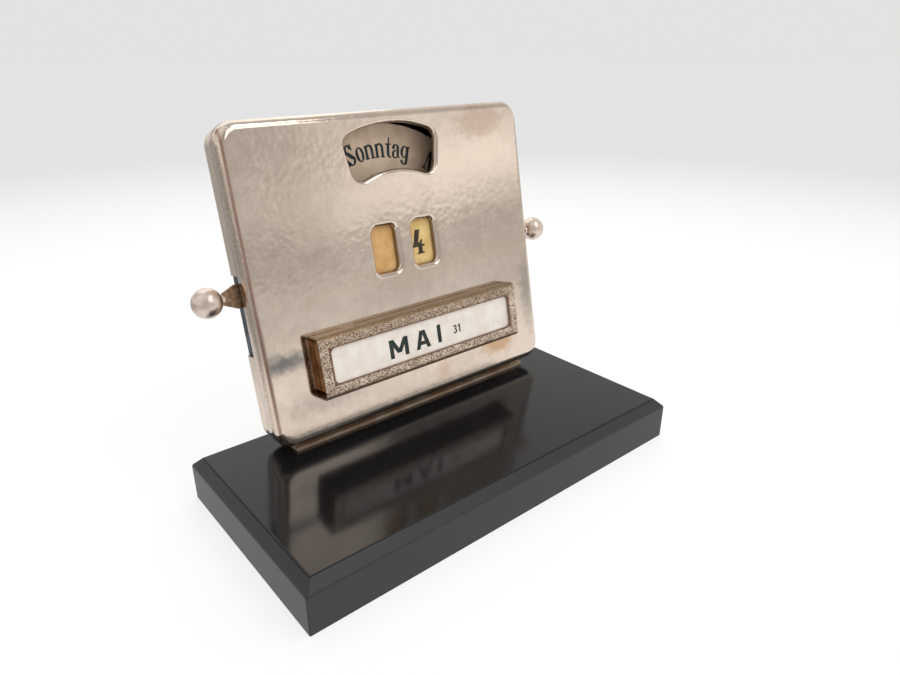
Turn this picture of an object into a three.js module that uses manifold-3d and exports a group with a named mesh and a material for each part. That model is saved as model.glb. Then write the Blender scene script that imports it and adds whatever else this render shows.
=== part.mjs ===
// Perpetual desk calendar: a leaning sheet-metal case on a chamfered slab. Two side levers step its discs.
// Millimetres, +Z up, origin in the middle of the slab's underside. The face looks towards -Y.
import * as THREE from "three";
import { mergeVertices } from "three/addons/utils/BufferGeometryUtils.js";
import Module from "manifold-3d";

const wasm = await Module();
wasm.setup();

// Slab
const baseWidth = 160;
const baseDepth = 80;
const baseHeight = 16.8;
const baseChamfer = 3.2;

// Case, in its own leaning frame: x right, y from the face to the back, z up from its lowest edge
const caseLean = THREE.MathUtils.degToRad(11.2);
const caseWidth = 125;
const caseHeight = 106.8;
const caseDepth = 15.5;
const caseCorner = 7;
const caseRoll = 3;
const sheet = 0.6;
const faceDepth = 5.8;
const shellOverlap = 2;
const caseOffset = 4.4;
const caseFront = 15.8;
const caseLift = 3.94;

// Clearances between pieces
const seatGap = 0.3;
const tipGap = 0.4;
const overrun = 1;
const endRoom = 0.5;

// Weekday window, an arched opening centred above the weekday arbor
const arborHeight = 53.4;
const archOuter = 48.9;
const archInner = 33;
const archHalfWidth = 19.25;
const archSideLean = THREE.MathUtils.degToRad(9.9);
const archCorner = 4;

// Date windows
const dateWidth = 9.7;
const dateHeight = 16.1;
const dateCorner = 2;
const dateOffset = 8.6;
const dateLevel = 59;
const rimFlare = 1;
const rimDepth = 2;

// Discs
const discLap = 0.7;
const weekdayDepth = 10.6;
const weekdaySheet = 0.7;
const digitBorder = 6.1;
const discMargin = 3.4;
const dateDiscDepth = 2.6;
const dateDiscSheet = 0.6;

// Movement plate and its pillars
const plateDepth = 5.8;
const plateSheet = 1;
const plateMargin = 3.9;
const plateCorner = 4;
const plateNotchWidth = 54;
const plateNotchFloor = 82;
const wingSheet = 0.8;
const wingOverreach = 4;
const wingSlotDepth = 10.9;
const wingReach = 14;
const lowerPillarInset = 16.5;
const lowerPillarZ = 9;
const upperPillarInset = 12.5;
const upperPillarZ = 98;
const pillarRadius = 2.2;
const studRadius = 2.5;
const studFloor = 1.6;
const spigotRadius = 1;
const screwShank = 1;
const screwHead = 2.6;
const screwHeadHeight = 1.3;
const screwLength = 5;

// Layers of the works, front layer before the plate and three behind it
const frontLayer = 3.8;
const frontThick = 1;
const leverDepth = 7.2;
const leverThick = 1.2;
const wheelDepth = 8.7;
const wheelThick = 0.8;
const rivetHead = 0.3;

// Levers, knobs and their slots
const slotBottom = 32.1;
const slotTop = 59.6;
const slotBite = 4.1;
const slotRim = 0.2;
const knobStandoff = 10.4;
const knobRadius = 4.9;
const armHalf = 3.1;
const armRootHalf = 3.9;
const armTipHalf = 2;
const leverHub = 5;
const tangRadius = 1;
const leftPivotX = -32;
const postRadius = 2;
const neckRadius = 1.4;
const clipRadius = 3.4;
const clipThick = 0.6;

// Wheels
const weekdayTeeth = 7;
const weekdayRatchetRadius = 10.8;
const unitsTeeth = 10;
const unitsRatchetShare = 16.5 / 22.2;
const tensTeeth = 8;
const tensRatchetShare = 22 / 22.2;
const toothDepth = 3;
const fingerWidth = 3.4;
const fingerBite = 1.2;
const fingerPark = THREE.MathUtils.degToRad(195);
const carryWidth = 3;
const hubRadius = 4.5;

// Pawls, springs and detents
const pawlHub = 2.1;
const pawlPin = 0.9;
const pawlHead = 1.6;
const rightPawlInset = 10.9;
const leftPawlX = -17;
const pawlDrop = 1.4;
const rightPawlRise = 8.1;
const leftPawlRise = 2.6;
const pawlBeak = 1.6;
const springInset = 6;
const springLevel = 84;
const springPin = 0.6;
const springPinRise = 2.2;
const springRadius = 1.2;
const springWire = 0.5;
const springTurns = 6;
const springCentre = 9;
const leafThick = 0.5;
const leafReach = 15;
const leafStandoff = 2.5;
const leafBump = 1.6;
const leafEye = 2.3;
const leafPost = 1.4;

// Card holder and cards
const holderHalfWidth = 45;
const holderBottom = 14.1;
const holderTop = 36.1;
const holderDepth = 6.4;
const holderRound = 2;
const holderFrame = 4.2;
const holderWindowBottom = 19;
const holderWindowTop = 31.6;
const holderWindowCorner = 2;
const tabWidth = 6;
const tabInset = 15;
const tabFoot = 2;
const cardInset = 1.5;
const cardMargin = 1;
const cardThick = 0.7;
const cardPitch = 0.9;
const cardCorner = 1;
const cardCount = 6;

// Foot bracket and its screws
const bracketInset = 7.9;
const bracketSheet = 1.2;
const bracketFront = 19.4;
const bracketTop = 17;
const bracketBend = 1;
const baseScrewInset = 22.5;
const baseScrewY = 24;
const baseScrewShank = 1.6;
const baseScrewHead = 3.2;
const baseScrewHeadHeight = 2.2;
const counterboreDepth = 6.8;

// Facets
const roundSteps = 16;
const ballSteps = 18;
const discSteps = 48;
const cornerSteps = 6;
const rollSteps = 4;
const rimSteps = 3;
const rimCornerSteps = 4;
const archSteps = 10;
const cardCornerSteps = 2;

// Places that follow from the sizes above
const backInner = caseDepth - sheet;
const plateBack = plateDepth + plateSheet;
const rearHalfWidth = caseWidth / 2 - sheet - seatGap;
const wingOuter = rearHalfWidth - sheet - seatGap;
const wingInner = wingOuter - wingSheet;
const lowerPillarX = caseWidth / 2 - lowerPillarInset;
const upperPillarX = caseWidth / 2 - upperPillarInset;
const bracketHalf = caseWidth / 2 - bracketInset;
const baseScrewX = caseWidth / 2 - baseScrewInset;
const knobReach = caseWidth / 2 + knobStandoff;
const springX = caseWidth / 2 - springInset;
const rightPawlX = caseWidth / 2 - rightPawlInset;
const weekdayRadius = archOuter + discLap;
const digitRadius = (caseWidth / 2 - dateOffset - digitBorder - discMargin) / 2;
const dateDiscRadius = digitRadius + digitBorder;
const unitsRatchetRadius = unitsRatchetShare * digitRadius;
const tensRatchetRadius = tensRatchetShare * digitRadius;
const wheelX = dateOffset + digitRadius;
const holderWindowHalf = holderHalfWidth - holderFrame;
const cardHalfWidth = holderHalfWidth - cardInset;
const tabX = holderHalfWidth - tabInset;
const caseOrigin = new THREE.Vector3(caseOffset, caseFront, baseHeight + caseLift);

// Closed triangle soup to a merged geometry whose faces point outwards
function closedBody(triangles) {
  const soup = new THREE.BufferGeometry().setFromPoints(triangles.flat());
  return outward(soup);
}

function outward(geometry) {
  const bare = geometry.index ? geometry.toNonIndexed() : geometry.clone();
  bare.deleteAttribute("normal");
  bare.deleteAttribute("uv");
  const merged = mergeVertices(bare);
  const place = merged.attributes.position;
  const corners = [];
  let volume = 0;
  for (let i = 0; i < merged.index.count; i += 3) {
    const [a, b, c] = [0, 1, 2].map((k) => merged.index.getX(i + k));
    if (a === b || b === c || c === a) continue;
    const [p, q, r] = [a, b, c].map((k) => new THREE.Vector3().fromBufferAttribute(place, k));
    volume += p.dot(q.cross(r));
    corners.push(a, b, c);
  }
  merged.setIndex(volume < 0 ? corners.reverse() : corners);
  return merged;
}

// Joins and cuts
function toManifold(geometry) {
  const body = outward(geometry);
  const vertProperties = new Float32Array(body.attributes.position.array);
  const triVerts = new Uint32Array(body.index.array);
  return new wasm.Manifold(new wasm.Mesh({ numProp: 3, vertProperties, triVerts }));
}

function fromManifold(manifold) {
  const mesh = manifold.getMesh();
  const geometry = new THREE.BufferGeometry();
  geometry.setAttribute("position", new THREE.BufferAttribute(mesh.vertProperties, 3));
  geometry.setIndex(new THREE.BufferAttribute(mesh.triVerts, 1));
  return geometry;
}

function join(first, ...others) {
  return fromManifold(others.reduce((sum, each) => sum.add(toManifold(each)), toManifold(first)));
}

function cut(first, ...tools) {
  return fromManifold(tools.reduce((rest, each) => rest.subtract(toManifold(each)), toManifold(first)));
}

// Rings of points in the face plane, all of one length for one outline whatever it is grown by
function arcPoints(centre, radius, from, to, steps) {
  return Array.from({ length: steps + 1 }, (_, i) => {
    const angle = from + ((to - from) * i) / steps;
    return new THREE.Vector2(centre.x + radius * Math.cos(angle), centre.y + radius * Math.sin(angle));
  });
}

function roundedRing(box, radius, grow, steps = cornerSteps) {
  const quarter = Math.PI / 2;
  const centres = [
    new THREE.Vector2(box.right - radius, box.bottom + radius),
    new THREE.Vector2(box.right - radius, box.top - radius),
    new THREE.Vector2(box.left + radius, box.top - radius),
    new THREE.Vector2(box.left + radius, box.bottom + radius),
  ];
  return centres.flatMap((centre, i) =>
    arcPoints(centre, radius + grow, (i - 1) * quarter, i * quarter, steps));
}

function archRing(grow) {
  const normal = new THREE.Vector2(Math.cos(archSideLean), -Math.sin(archSideLean));
  const along = new THREE.Vector2(Math.sin(archSideLean), Math.cos(archSideLean));
  const middle = (archOuter + archInner) / 2;
  const inset = archHalfWidth * normal.x + middle * normal.y - archCorner;
  const cornerCentre = (radius) => normal.clone().multiplyScalar(inset)
    .addScaledVector(along, Math.sqrt(radius ** 2 - inset ** 2));
  const low = cornerCentre(archInner + archCorner);
  const high = cornerCentre(archOuter - archCorner);
  const right = [
    ...arcPoints(low, archCorner + grow, low.angle() - Math.PI, -archSideLean, rimCornerSteps),
    ...arcPoints(high, archCorner + grow, -archSideLean, high.angle(), rimCornerSteps),
  ];
  const left = right.map((p) => new THREE.Vector2(-p.x, p.y)).reverse();
  const origin = new THREE.Vector2();
  const top = arcPoints(origin, archOuter + grow, high.angle(), Math.PI - high.angle(), archSteps);
  const bottom = arcPoints(origin, archInner - grow, Math.PI - low.angle(), low.angle(), archSteps);
  const ring = [...right, ...top.slice(1, -1), ...left, ...bottom.slice(1, -1)];
  return ring.map((p) => new THREE.Vector2(p.x, p.y + arborHeight));
}

// The path of a sheet's edge as it rolls over, from its outer skin round its rim to its inner skin
function rolledEdge(roll, depth, steps = rimSteps) {
  const bend = (radius) => Array.from({ length: steps + 1 }, (_, i) => {
    const angle = (i / steps) * (Math.PI / 2);
    return { grow: radius * Math.sin(angle) - roll, depth: roll - radius * Math.cos(angle) };
  });
  const inner = roll - sheet;
  return [...bend(roll), { grow: 0, depth }, { grow: -sheet, depth }, ...bend(inner).reverse()];
}

function straightEdge() {
  return [{ grow: 0, depth: 0 }, { grow: 0, depth: sheet }];
}

// A pressed sheet: a flat face with rolled edges round its outline and round each opening
function pressedSheet(outline, openings, facePlane, inwards) {
  const at = (p, depth) => new THREE.Vector3(p.x, facePlane + inwards * depth, p.y);
  const triangles = [];
  const skin = (edge, sign) => {
    const rings = edge.path.map((step) => edge.ring(sign * step.grow).map((p) => at(p, step.depth)));
    for (let i = 0; i + 1 < rings.length; i += 1) {
      rings[i].forEach((a, k) => {
        const next = (k + 1) % rings[i].length;
        const [b, c, d] = [rings[i][next], rings[i + 1][next], rings[i + 1][k]];
        triangles.push(...(sign > 0 ? [[a, d, b], [b, d, c]] : [[a, b, d], [b, c, d]]));
      });
    }
  };
  skin(outline, 1);
  openings.forEach((opening) => skin(opening, -1));
  const rim = (edge, sign) => edge.ring(sign * edge.path[0].grow);
  const contour = rim(outline, 1);
  const holes = openings.map((opening) => rim(opening, -1));
  const points = [contour, ...holes].flat();
  THREE.ShapeUtils.triangulateShape(contour, holes).forEach((corners) => {
    const [p, q, r] = corners.map((k) => points[k]);
    const turn = q.clone().sub(p).cross(r.clone().sub(p));
    const flat = turn > 0 ? [p, q, r] : [p, r, q];
    triangles.push(flat.map((each) => at(each, 0)));
    triangles.push(flat.map((each) => at(each, sheet)).reverse());
  });
  return closedBody(triangles);
}

// Flat pieces in the face plane, between two depths
function slab(shape, front, back, segments = roundSteps) {
  const options = { depth: back - front, bevelEnabled: false, curveSegments: segments };
  return new THREE.ExtrudeGeometry(shape, options).rotateX(Math.PI / 2).translate(0, back, 0);
}

function polygon(points) {
  return new THREE.Shape(points.map(([x, z]) => new THREE.Vector2(x, z)));
}

function block(left, right, front, back, bottom, top) {
  return new THREE.BoxGeometry(right - left, back - front, top - bottom)
    .translate((left + right) / 2, (front + back) / 2, (bottom + top) / 2);
}

function onBothSides(inner, outer, ...rest) {
  return [block(-outer, -inner, ...rest), block(inner, outer, ...rest)];
}

// A section in the side view, drawn out from left to right
function alongX(shape, left, right, segments = cornerSteps) {
  const turn = new THREE.Matrix4().makeBasis(
    new THREE.Vector3(0, 1, 0), new THREE.Vector3(0, 0, 1), new THREE.Vector3(1, 0, 0));
  const options = { depth: right - left, bevelEnabled: false, curveSegments: segments };
  return new THREE.ExtrudeGeometry(shape, options).applyMatrix4(turn).translate(left, 0, 0);
}

function round(x, z, radius, front, back, steps = roundSteps) {
  return new THREE.CylinderGeometry(radius, radius, back - front, steps)
    .translate(x, (front + back) / 2, z);
}

// Turned pieces about an axis that runs from front to back: each step is [radius, depth]
function turned(profile, x, z, steps = roundSteps) {
  const points = profile.map(([radius, depth]) => new THREE.Vector2(radius, depth));
  return outward(new THREE.LatheGeometry(points, steps).translate(x, 0, z));
}

function ratchet(x, z, teeth, radius, turn, front, back) {
  const pitch = (2 * Math.PI) / teeth;
  const root = radius - toothDepth;
  const backShare = 0.35;
  const points = [];
  for (let i = 0; i < teeth; i += 1) {
    const steps = [[radius, 0], [root, 0], [root + backShare * toothDepth, pitch / 2]];
    steps.forEach(([reach, ahead]) => {
      const angle = turn * (i * pitch + ahead);
      points.push([x + reach * Math.cos(angle), z + reach * Math.sin(angle)]);
    });
  }
  const bore = round(x, z, postRadius + seatGap, front - overrun, back + overrun);
  return cut(slab(polygon(points), front, back), bore);
}

// Pieces of the stand
function baseBlock() {
  const ring = (inset, level) => [[1, -1], [1, 1], [-1, 1], [-1, -1]].map(([sx, sy]) =>
    new THREE.Vector3(sx * (baseWidth / 2 - inset), sy * (baseDepth / 2 - inset), level));
  const rings = [ring(0, 0), ring(0, baseHeight - baseChamfer), ring(baseChamfer, baseHeight)];
  const triangles = [];
  for (let i = 0; i + 1 < rings.length; i += 1) {
    rings[i].forEach((a, k) => {
      const next = (k + 1) % rings[i].length;
      triangles.push([a, rings[i][next], rings[i + 1][k]]);
      triangles.push([rings[i][next], rings[i + 1][next], rings[i + 1][k]]);
    });
  }
  const [foot, , top] = rings;
  triangles.push([foot[0], foot[2], foot[1]], [foot[0], foot[3], foot[2]]);
  triangles.push([top[0], top[1], top[2]], [top[0], top[2], top[3]]);
  const holes = screwPlaces().flatMap((x) => [
    upright(x, baseScrewShank + seatGap, -overrun, baseHeight + overrun),
    upright(x, baseScrewHead + 2 * seatGap, -overrun, counterboreDepth),
  ]);
  return cut(closedBody(triangles), ...holes);
}

function screwPlaces() {
  return [caseOffset - baseScrewX, caseOffset + baseScrewX];
}

function upright(x, radius, bottom, top) {
  return new THREE.CylinderGeometry(radius, radius, top - bottom, roundSteps)
    .rotateX(Math.PI / 2).translate(x, baseScrewY, (bottom + top) / 2);
}

function baseScrew(x) {
  const headTop = counterboreDepth - seatGap;
  const shankTop = baseHeight + bracketSheet + seatGap;
  const points = [
    [0, headTop - baseScrewHeadHeight], [baseScrewHead, headTop - baseScrewHeadHeight],
    [baseScrewHead, headTop], [baseScrewShank, headTop],
    [baseScrewShank, shankTop], [0, shankTop],
  ].map(([radius, level]) => new THREE.Vector2(radius, level));
  const screw = new THREE.LatheGeometry(points, roundSteps).rotateX(Math.PI / 2);
  return outward(screw.translate(x, baseScrewY, 0));
}

// A bent strip: flat on the slab, then up behind the case at its lean
function footBracket(caseMatrix) {
  const inCase = (y, z) => {
    const place = new THREE.Vector3(0, y, z).applyMatrix4(caseMatrix);
    return new THREE.Vector2(place.y, place.z);
  };
  const front = caseDepth + seatGap;
  const back = front + bracketSheet;
  const normal = new THREE.Vector2(Math.cos(caseLean), -Math.sin(caseLean));
  const bendLevel = baseHeight + bracketSheet + bracketBend;
  const bendY = (inCase(front, 0).dot(normal) - bracketBend - bendLevel * normal.y) / normal.x;
  const bend = (radius) =>
    arcPoints(new THREE.Vector2(bendY, bendLevel), radius, -Math.PI / 2, -caseLean, cornerSteps);
  const profile = [
    new THREE.Vector2(bracketFront, baseHeight + bracketSheet),
    ...bend(bracketBend), inCase(front, bracketTop), inCase(back, bracketTop),
    ...bend(bracketBend + bracketSheet).reverse(),
    new THREE.Vector2(bracketFront, baseHeight),
  ];
  const strip = alongX(new THREE.Shape(profile), caseOffset - bracketHalf, caseOffset + bracketHalf);
  const [hole, room] = [screwShank + seatGap, overrun + bracketSheet];
  const screwHoles = screwPlaces().map((x) =>
    upright(x, baseScrewShank + seatGap, baseHeight - overrun, baseHeight + room));
  const caseHoles = [-lowerPillarX, lowerPillarX].map((x) =>
    round(x, lowerPillarZ, hole, front - overrun, back + overrun).applyMatrix4(caseMatrix));
  return cut(strip, ...screwHoles, ...caseHoles);
}

// Pieces of the case
function pillarPlaces() {
  return {
    pillar_lower_left: [-lowerPillarX, lowerPillarZ],
    pillar_lower_right: [lowerPillarX, lowerPillarZ],
    pillar_upper_left: [-upperPillarX, upperPillarZ],
    pillar_upper_right: [upperPillarX, upperPillarZ],
  };
}

function caseOutline(inset) {
  const half = caseWidth / 2 - inset;
  const box = { left: -half, right: half, bottom: inset, top: caseHeight - inset };
  return (grow) => roundedRing(box, caseCorner - inset, grow);
}

function dateOpening(centre) {
  const box = {
    left: centre - dateWidth / 2, right: centre + dateWidth / 2,
    bottom: dateLevel - dateHeight / 2, top: dateLevel + dateHeight / 2,
  };
  const ring = (grow) => roundedRing(box, dateCorner, grow, rimCornerSteps);
  return { ring, path: rolledEdge(rimFlare, rimDepth) };
}

function tabWalls() {
  const upper = {
    bottom: holderTop - sheet, top: holderTop,
    footBottom: holderTop - sheet, footTop: holderTop + tabFoot,
  };
  const lower = {
    bottom: holderBottom, top: holderBottom + sheet,
    footBottom: holderBottom - tabFoot, footTop: holderBottom + sheet,
  };
  return [-tabX, tabX].flatMap((x) => [{ x, ...upper }, { x, ...lower }]);
}

function tabOpening(wall) {
  const half = tabWidth / 2 + seatGap;
  const box = {
    left: wall.x - half, right: wall.x + half,
    bottom: wall.bottom - seatGap, top: wall.top + seatGap,
  };
  return { ring: (grow) => roundedRing(box, seatGap, grow, 1), path: straightEdge() };
}

function frontShell() {
  const outline = { ring: caseOutline(0), path: rolledEdge(caseRoll, faceDepth, rollSteps) };
  const arch = { ring: archRing, path: rolledEdge(rimFlare, rimDepth) };
  const dates = [-dateOffset, dateOffset].map(dateOpening);
  const face = pressedSheet(outline, [arch, ...dates, ...tabWalls().map(tabOpening)], 0, 1);
  const places = Object.values(pillarPlaces());
  const studs = places.map(([x, z]) => round(x, z, studRadius, sheet / 2, plateDepth - seatGap));
  const bores = places.map(([x, z]) => round(x, z, spigotRadius + seatGap, studFloor, plateDepth));
  return cut(join(face, ...studs), ...bores);
}

function rearShell() {
  const outline = caseOutline(caseWidth / 2 - rearHalfWidth);
  const reach = caseDepth - faceDepth + shellOverlap;
  const skin = { ring: outline, path: rolledEdge(caseRoll, reach, rollSteps) };
  const pan = pressedSheet(skin, [], caseDepth, -1);
  const slots = onBothSides(rearHalfWidth - slotBite, rearHalfWidth + overrun,
    faceDepth + slotRim, caseDepth + overrun, slotBottom, slotTop);
  const holes = Object.values(pillarPlaces()).map(([x, z]) =>
    round(x, z, screwShank + seatGap, backInner - overrun, caseDepth + overrun));
  return cut(pan, ...slots, ...holes);
}

function pillar([x, z]) {
  return turned([
    [0, studFloor + seatGap], [spigotRadius, studFloor + seatGap], [spigotRadius, plateBack + seatGap],
    [pillarRadius, plateBack + seatGap], [pillarRadius, backInner - seatGap],
    [screwShank + seatGap, backInner - seatGap], [screwShank + seatGap, caseDepth - screwLength - seatGap],
    [0, caseDepth - screwLength - seatGap],
  ], x, z);
}

function caseScrew([x, z], seat) {
  const crownShare = 0.55;
  return turned([
    [0, caseDepth - screwLength], [screwShank, caseDepth - screwLength], [screwShank, seat + seatGap],
    [screwHead, seat + seatGap], [screwHead * crownShare, seat + seatGap + screwHeadHeight],
    [0, seat + seatGap + screwHeadHeight],
  ], x, z);
}

// A plate with a notch behind the arched window, bent-back wings at the slots, and riveted posts
function movementPlate() {
  const half = rearHalfWidth - sheet - plateMargin / 2;
  const top = caseHeight - plateMargin;
  const box = { left: -half, right: half, bottom: plateMargin, top };
  const body = slab(new THREE.Shape(roundedRing(box, plateCorner, 0)), plateDepth, plateBack);
  const wingBottom = slotBottom - wingOverreach;
  const wingTop = slotTop + wingOverreach;
  const wingBack = caseDepth - caseRoll;
  const wings = [
    ...onBothSides(half - overrun, wingOuter, plateDepth, plateBack, wingBottom, wingTop),
    ...onBothSides(wingInner, wingOuter, plateDepth, wingBack, wingBottom, wingTop),
    ...onBothSides(wingInner, wingOuter, wingSlotDepth, wingReach, slotBottom + seatGap, slotTop - seatGap),
  ];
  const postBack = springCentre + springRadius;
  const posts = [
    ...[-springX, springX].map((x) => round(x, springLevel, springPin, plateDepth, postBack)),
    ...detents().map((leaf) => round(leaf.postX, leaf.level, leafPost, ...leaf.postSpan)),
  ];
  const slots = onBothSides(wingInner - overrun, wingOuter + overrun,
    plateBack, wingSlotDepth, slotBottom - seatGap, slotTop + seatGap);
  const [before, behind] = [plateDepth - overrun, plateBack + overrun];
  const through = (x, z, radius) => round(x, z, radius + seatGap, before, behind);
  const holes = [
    ...Object.values(pillarPlaces()).map(([x, z]) => through(x, z, spigotRadius)),
    through(0, arborHeight, neckRadius), through(-wheelX, dateLevel, neckRadius),
    through(leftPivotX, arborHeight, neckRadius), through(wheelX, dateLevel, postRadius),
  ];
  const notchHalf = plateNotchWidth / 2;
  const notch = block(-notchHalf, notchHalf, before, behind, plateNotchFloor, top + overrun);
  return cut(join(body, ...wings, ...posts), notch, ...slots, ...holes);
}

// Pieces that the discs turn on
function mainArbor() {
  const headShare = 1.6;
  const headRadius = headShare * neckRadius;
  const head = frontLayer - seatGap;
  const grooveFront = mainClipDepth() - seatGap / 2;
  const grooveBack = mainClipDepth() + clipThick + seatGap / 2;
  return turned([
    [0, head - rivetHead * 2], [headRadius, head - rivetHead * 2], [headRadius, head], [neckRadius, head],
    [neckRadius, plateBack + seatGap], [postRadius, plateBack + seatGap], [postRadius, grooveFront],
    [neckRadius, grooveFront], [neckRadius, grooveBack], [postRadius, grooveBack],
    [postRadius, backInner - overrun], [0, backInner - overrun],
  ], 0, arborHeight);
}

function mainClipDepth() {
  return weekdayDepth + weekdaySheet + 2 * seatGap + endRoom;
}

function clip(x, z, front) {
  return turned([
    [neckRadius + seatGap / 2, front], [clipRadius, front], [clipRadius, front + clipThick],
    [neckRadius + seatGap / 2, front + clipThick], [neckRadius + seatGap / 2, front],
  ], x, z);
}

function weekdayDisc() {
  const hubFront = wheelDepth + wheelThick + seatGap;
  const hub = round(0, arborHeight, hubRadius, hubFront, mainClipDepth() - seatGap);
  const back = weekdayDepth + weekdaySheet;
  const flat = round(0, arborHeight, weekdayRadius, weekdayDepth, back, discSteps);
  const bore = round(0, arborHeight, postRadius + seatGap, wheelDepth, caseDepth);
  return cut(join(flat, hub), bore);
}

function dateDisc(x, bore) {
  const back = dateDiscDepth + dateDiscSheet;
  const flat = round(x, dateLevel, dateDiscRadius, dateDiscDepth, back, discSteps);
  return cut(flat, round(x, dateLevel, bore + seatGap, dateDiscDepth - overrun, back + overrun));
}

// The units arbor turns in the plate and is riveted over at both ends
function unitsArbor() {
  const front = dateDiscDepth - seatGap;
  const head = front - 2 * rivetHead;
  const shoulder = dateDiscDepth + dateDiscSheet + seatGap;
  const rear = wheelDepth + wheelThick + seatGap;
  return turned([
    [0, head], [postRadius, head], [postRadius, front], [neckRadius, front],
    [neckRadius, shoulder], [postRadius, shoulder], [postRadius, wheelDepth - seatGap],
    [neckRadius, wheelDepth - seatGap], [neckRadius, rear], [postRadius, rear],
    [postRadius, rear + rivetHead], [0, rear + rivetHead],
  ], wheelX, dateLevel);
}

function carryReach() {
  const span = Math.hypot(wheelX, dateLevel - arborHeight);
  return span - tensRatchetRadius - tipGap;
}

function carryFinger() {
  const span = Math.hypot(wheelX, dateLevel - arborHeight);
  const reach = span - carryReach() + fingerBite;
  const towardsArm = Math.PI + Math.atan2(dateLevel - arborHeight, wheelX);
  const half = fingerWidth / 2;
  const tipShare = 0.35;
  const blade = slab(polygon([[0, -half], [reach - half, -half], [reach, -half * tipShare],
    [reach, half * tipShare], [reach - half, half], [0, half]]), frontLayer, frontLayer + frontThick);
  blade.rotateY(-(towardsArm + fingerPark)).translate(wheelX, 0, dateLevel);
  const boss = round(wheelX, dateLevel, hubRadius, frontLayer, frontLayer + frontThick);
  const bore = round(wheelX, dateLevel, postRadius + seatGap, frontLayer - overrun, plateDepth);
  return cut(join(boss, blade), bore);
}

function carryLever() {
  const bossShare = 0.75;
  const half = carryWidth / 2;
  const reach = carryReach();
  const rise = Math.atan2(dateLevel - arborHeight, wheelX);
  const outline = polygon([[0, -half], [reach - half, -half], [reach, 0], [reach - half, half], [0, half]]);
  const arms = [rise, Math.PI - rise].map((angle) =>
    slab(outline, frontLayer, frontLayer + frontThick).rotateY(-angle).translate(0, 0, arborHeight));
  const boss = round(0, arborHeight, bossShare * hubRadius, frontLayer, frontLayer + frontThick);
  const bore = round(0, arborHeight, neckRadius + seatGap, frontLayer - overrun, plateDepth);
  return cut(join(boss, ...arms), bore);
}

function tensArbor() {
  const groove = dateDiscDepth - 2 * seatGap - clipThick;
  const [grooveFront, grooveBack] = [groove - seatGap / 2, groove + clipThick + seatGap / 2];
  return turned([
    [0, groove - endRoom], [postRadius, groove - endRoom], [postRadius, grooveFront],
    [neckRadius, grooveFront], [neckRadius, grooveBack],
    [postRadius, grooveBack], [postRadius, plateDepth - seatGap],
    [neckRadius, plateDepth - seatGap], [neckRadius, plateBack], [0, plateBack],
  ], -wheelX, dateLevel);
}

function leftStud() {
  const head = plateDepth - 2 * rivetHead - seatGap;
  const groove = leverDepth + leverThick + seatGap;
  const [grooveFront, grooveBack] = [groove - seatGap / 2, groove + clipThick + seatGap / 2];
  return turned([
    [0, head], [postRadius, head], [postRadius, plateDepth - seatGap], [neckRadius, plateDepth - seatGap],
    [neckRadius, plateBack + seatGap], [postRadius, plateBack + seatGap], [postRadius, grooveFront],
    [neckRadius, grooveFront], [neckRadius, grooveBack], [postRadius, grooveBack],
    [postRadius, groove + 2 * clipThick], [0, groove + 2 * clipThick],
  ], leftPivotX, arborHeight);
}

// Levers: a hub on its pivot, an arm out through the slot, a tang for the knob, and two pins on its back
function lever(side, pivotX, innerX, pawlX) {
  const back = leverDepth + leverThick;
  const middle = leverDepth + leverThick / 2;
  const rootX = wingOuter - armRootHalf;
  const neckX = caseWidth / 2 + overrun;
  const endX = knobReach - knobRadius - seatGap;
  const outline = [
    [innerX, -armHalf], [side * rootX, -armHalf],
    [side * wingOuter, -armRootHalf], [side * neckX, -armRootHalf],
    [side * endX, -armTipHalf], [side * endX, armTipHalf], [side * neckX, armRootHalf],
    [side * wingOuter, armRootHalf], [side * rootX, armHalf], [innerX, armHalf],
  ].map(([x, z]) => [x, arborHeight + z]);
  const arm = slab(polygon(outline), leverDepth, back);
  const hub = round(pivotX, arborHeight, leverHub, leverDepth, back);
  const tangLength = knobReach - endX + 2 * overrun;
  const tang = new THREE.CylinderGeometry(tangRadius, tangRadius, tangLength)
    .rotateZ(Math.PI / 2).translate(side * (endX - overrun + tangLength / 2), middle, arborHeight);
  const headFront = wheelDepth + wheelThick + seatGap;
  const pinBack = springCentre + springRadius;
  const pins = [
    round(pawlX, arborHeight - pawlDrop, pawlPin, middle, headFront + rivetHead),
    round(pawlX, arborHeight - pawlDrop, pawlHead, headFront, headFront + rivetHead),
    round(side * springX, arborHeight + springPinRise, springPin, middle, pinBack),
  ];
  const bore = round(pivotX, arborHeight, postRadius + seatGap, leverDepth - overrun, back + overrun);
  return cut(join(arm, hub, tang, ...pins), bore);
}

function knob(side) {
  const middle = leverDepth + leverThick / 2;
  const ball = new THREE.SphereGeometry(knobRadius, ballSteps, ballSteps / 2)
    .translate(side * knobReach, middle, arborHeight);
  const depth = knobRadius + overrun + seatGap;
  const bore = new THREE.CylinderGeometry(tangRadius + seatGap, tangRadius + seatGap, 2 * depth)
    .rotateZ(Math.PI / 2).translate(side * (knobReach + overrun + seatGap - depth), middle, arborHeight);
  return cut(ball, bore);
}

// A hooked pawl whose beak stands clear of its wheel until the lever moves
function pawl(side, pawlX, tipX, rise) {
  const waistShare = 0.9;
  const throatShare = 1.5;
  const pivotZ = arborHeight - pawlDrop;
  const tipZ = arborHeight + rise;
  const waist = waistShare * pawlHub;
  const outline = [
    [pawlX - side * waist, pivotZ], [tipX + side * pawlBeak, tipZ - throatShare * pawlBeak],
    [tipX, tipZ - pawlBeak / 2], [tipX, tipZ], [tipX + side * 2 * pawlBeak, tipZ],
    [pawlX + side * waist, pivotZ],
  ];
  const back = wheelDepth + wheelThick;
  const body = slab(polygon(outline), wheelDepth, back);
  const hub = round(pawlX, pivotZ, pawlHub, wheelDepth, back);
  const bore = round(pawlX, pivotZ, pawlPin + seatGap, wheelDepth - overrun, back + overrun);
  return cut(join(body, hub), bore);
}

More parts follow.
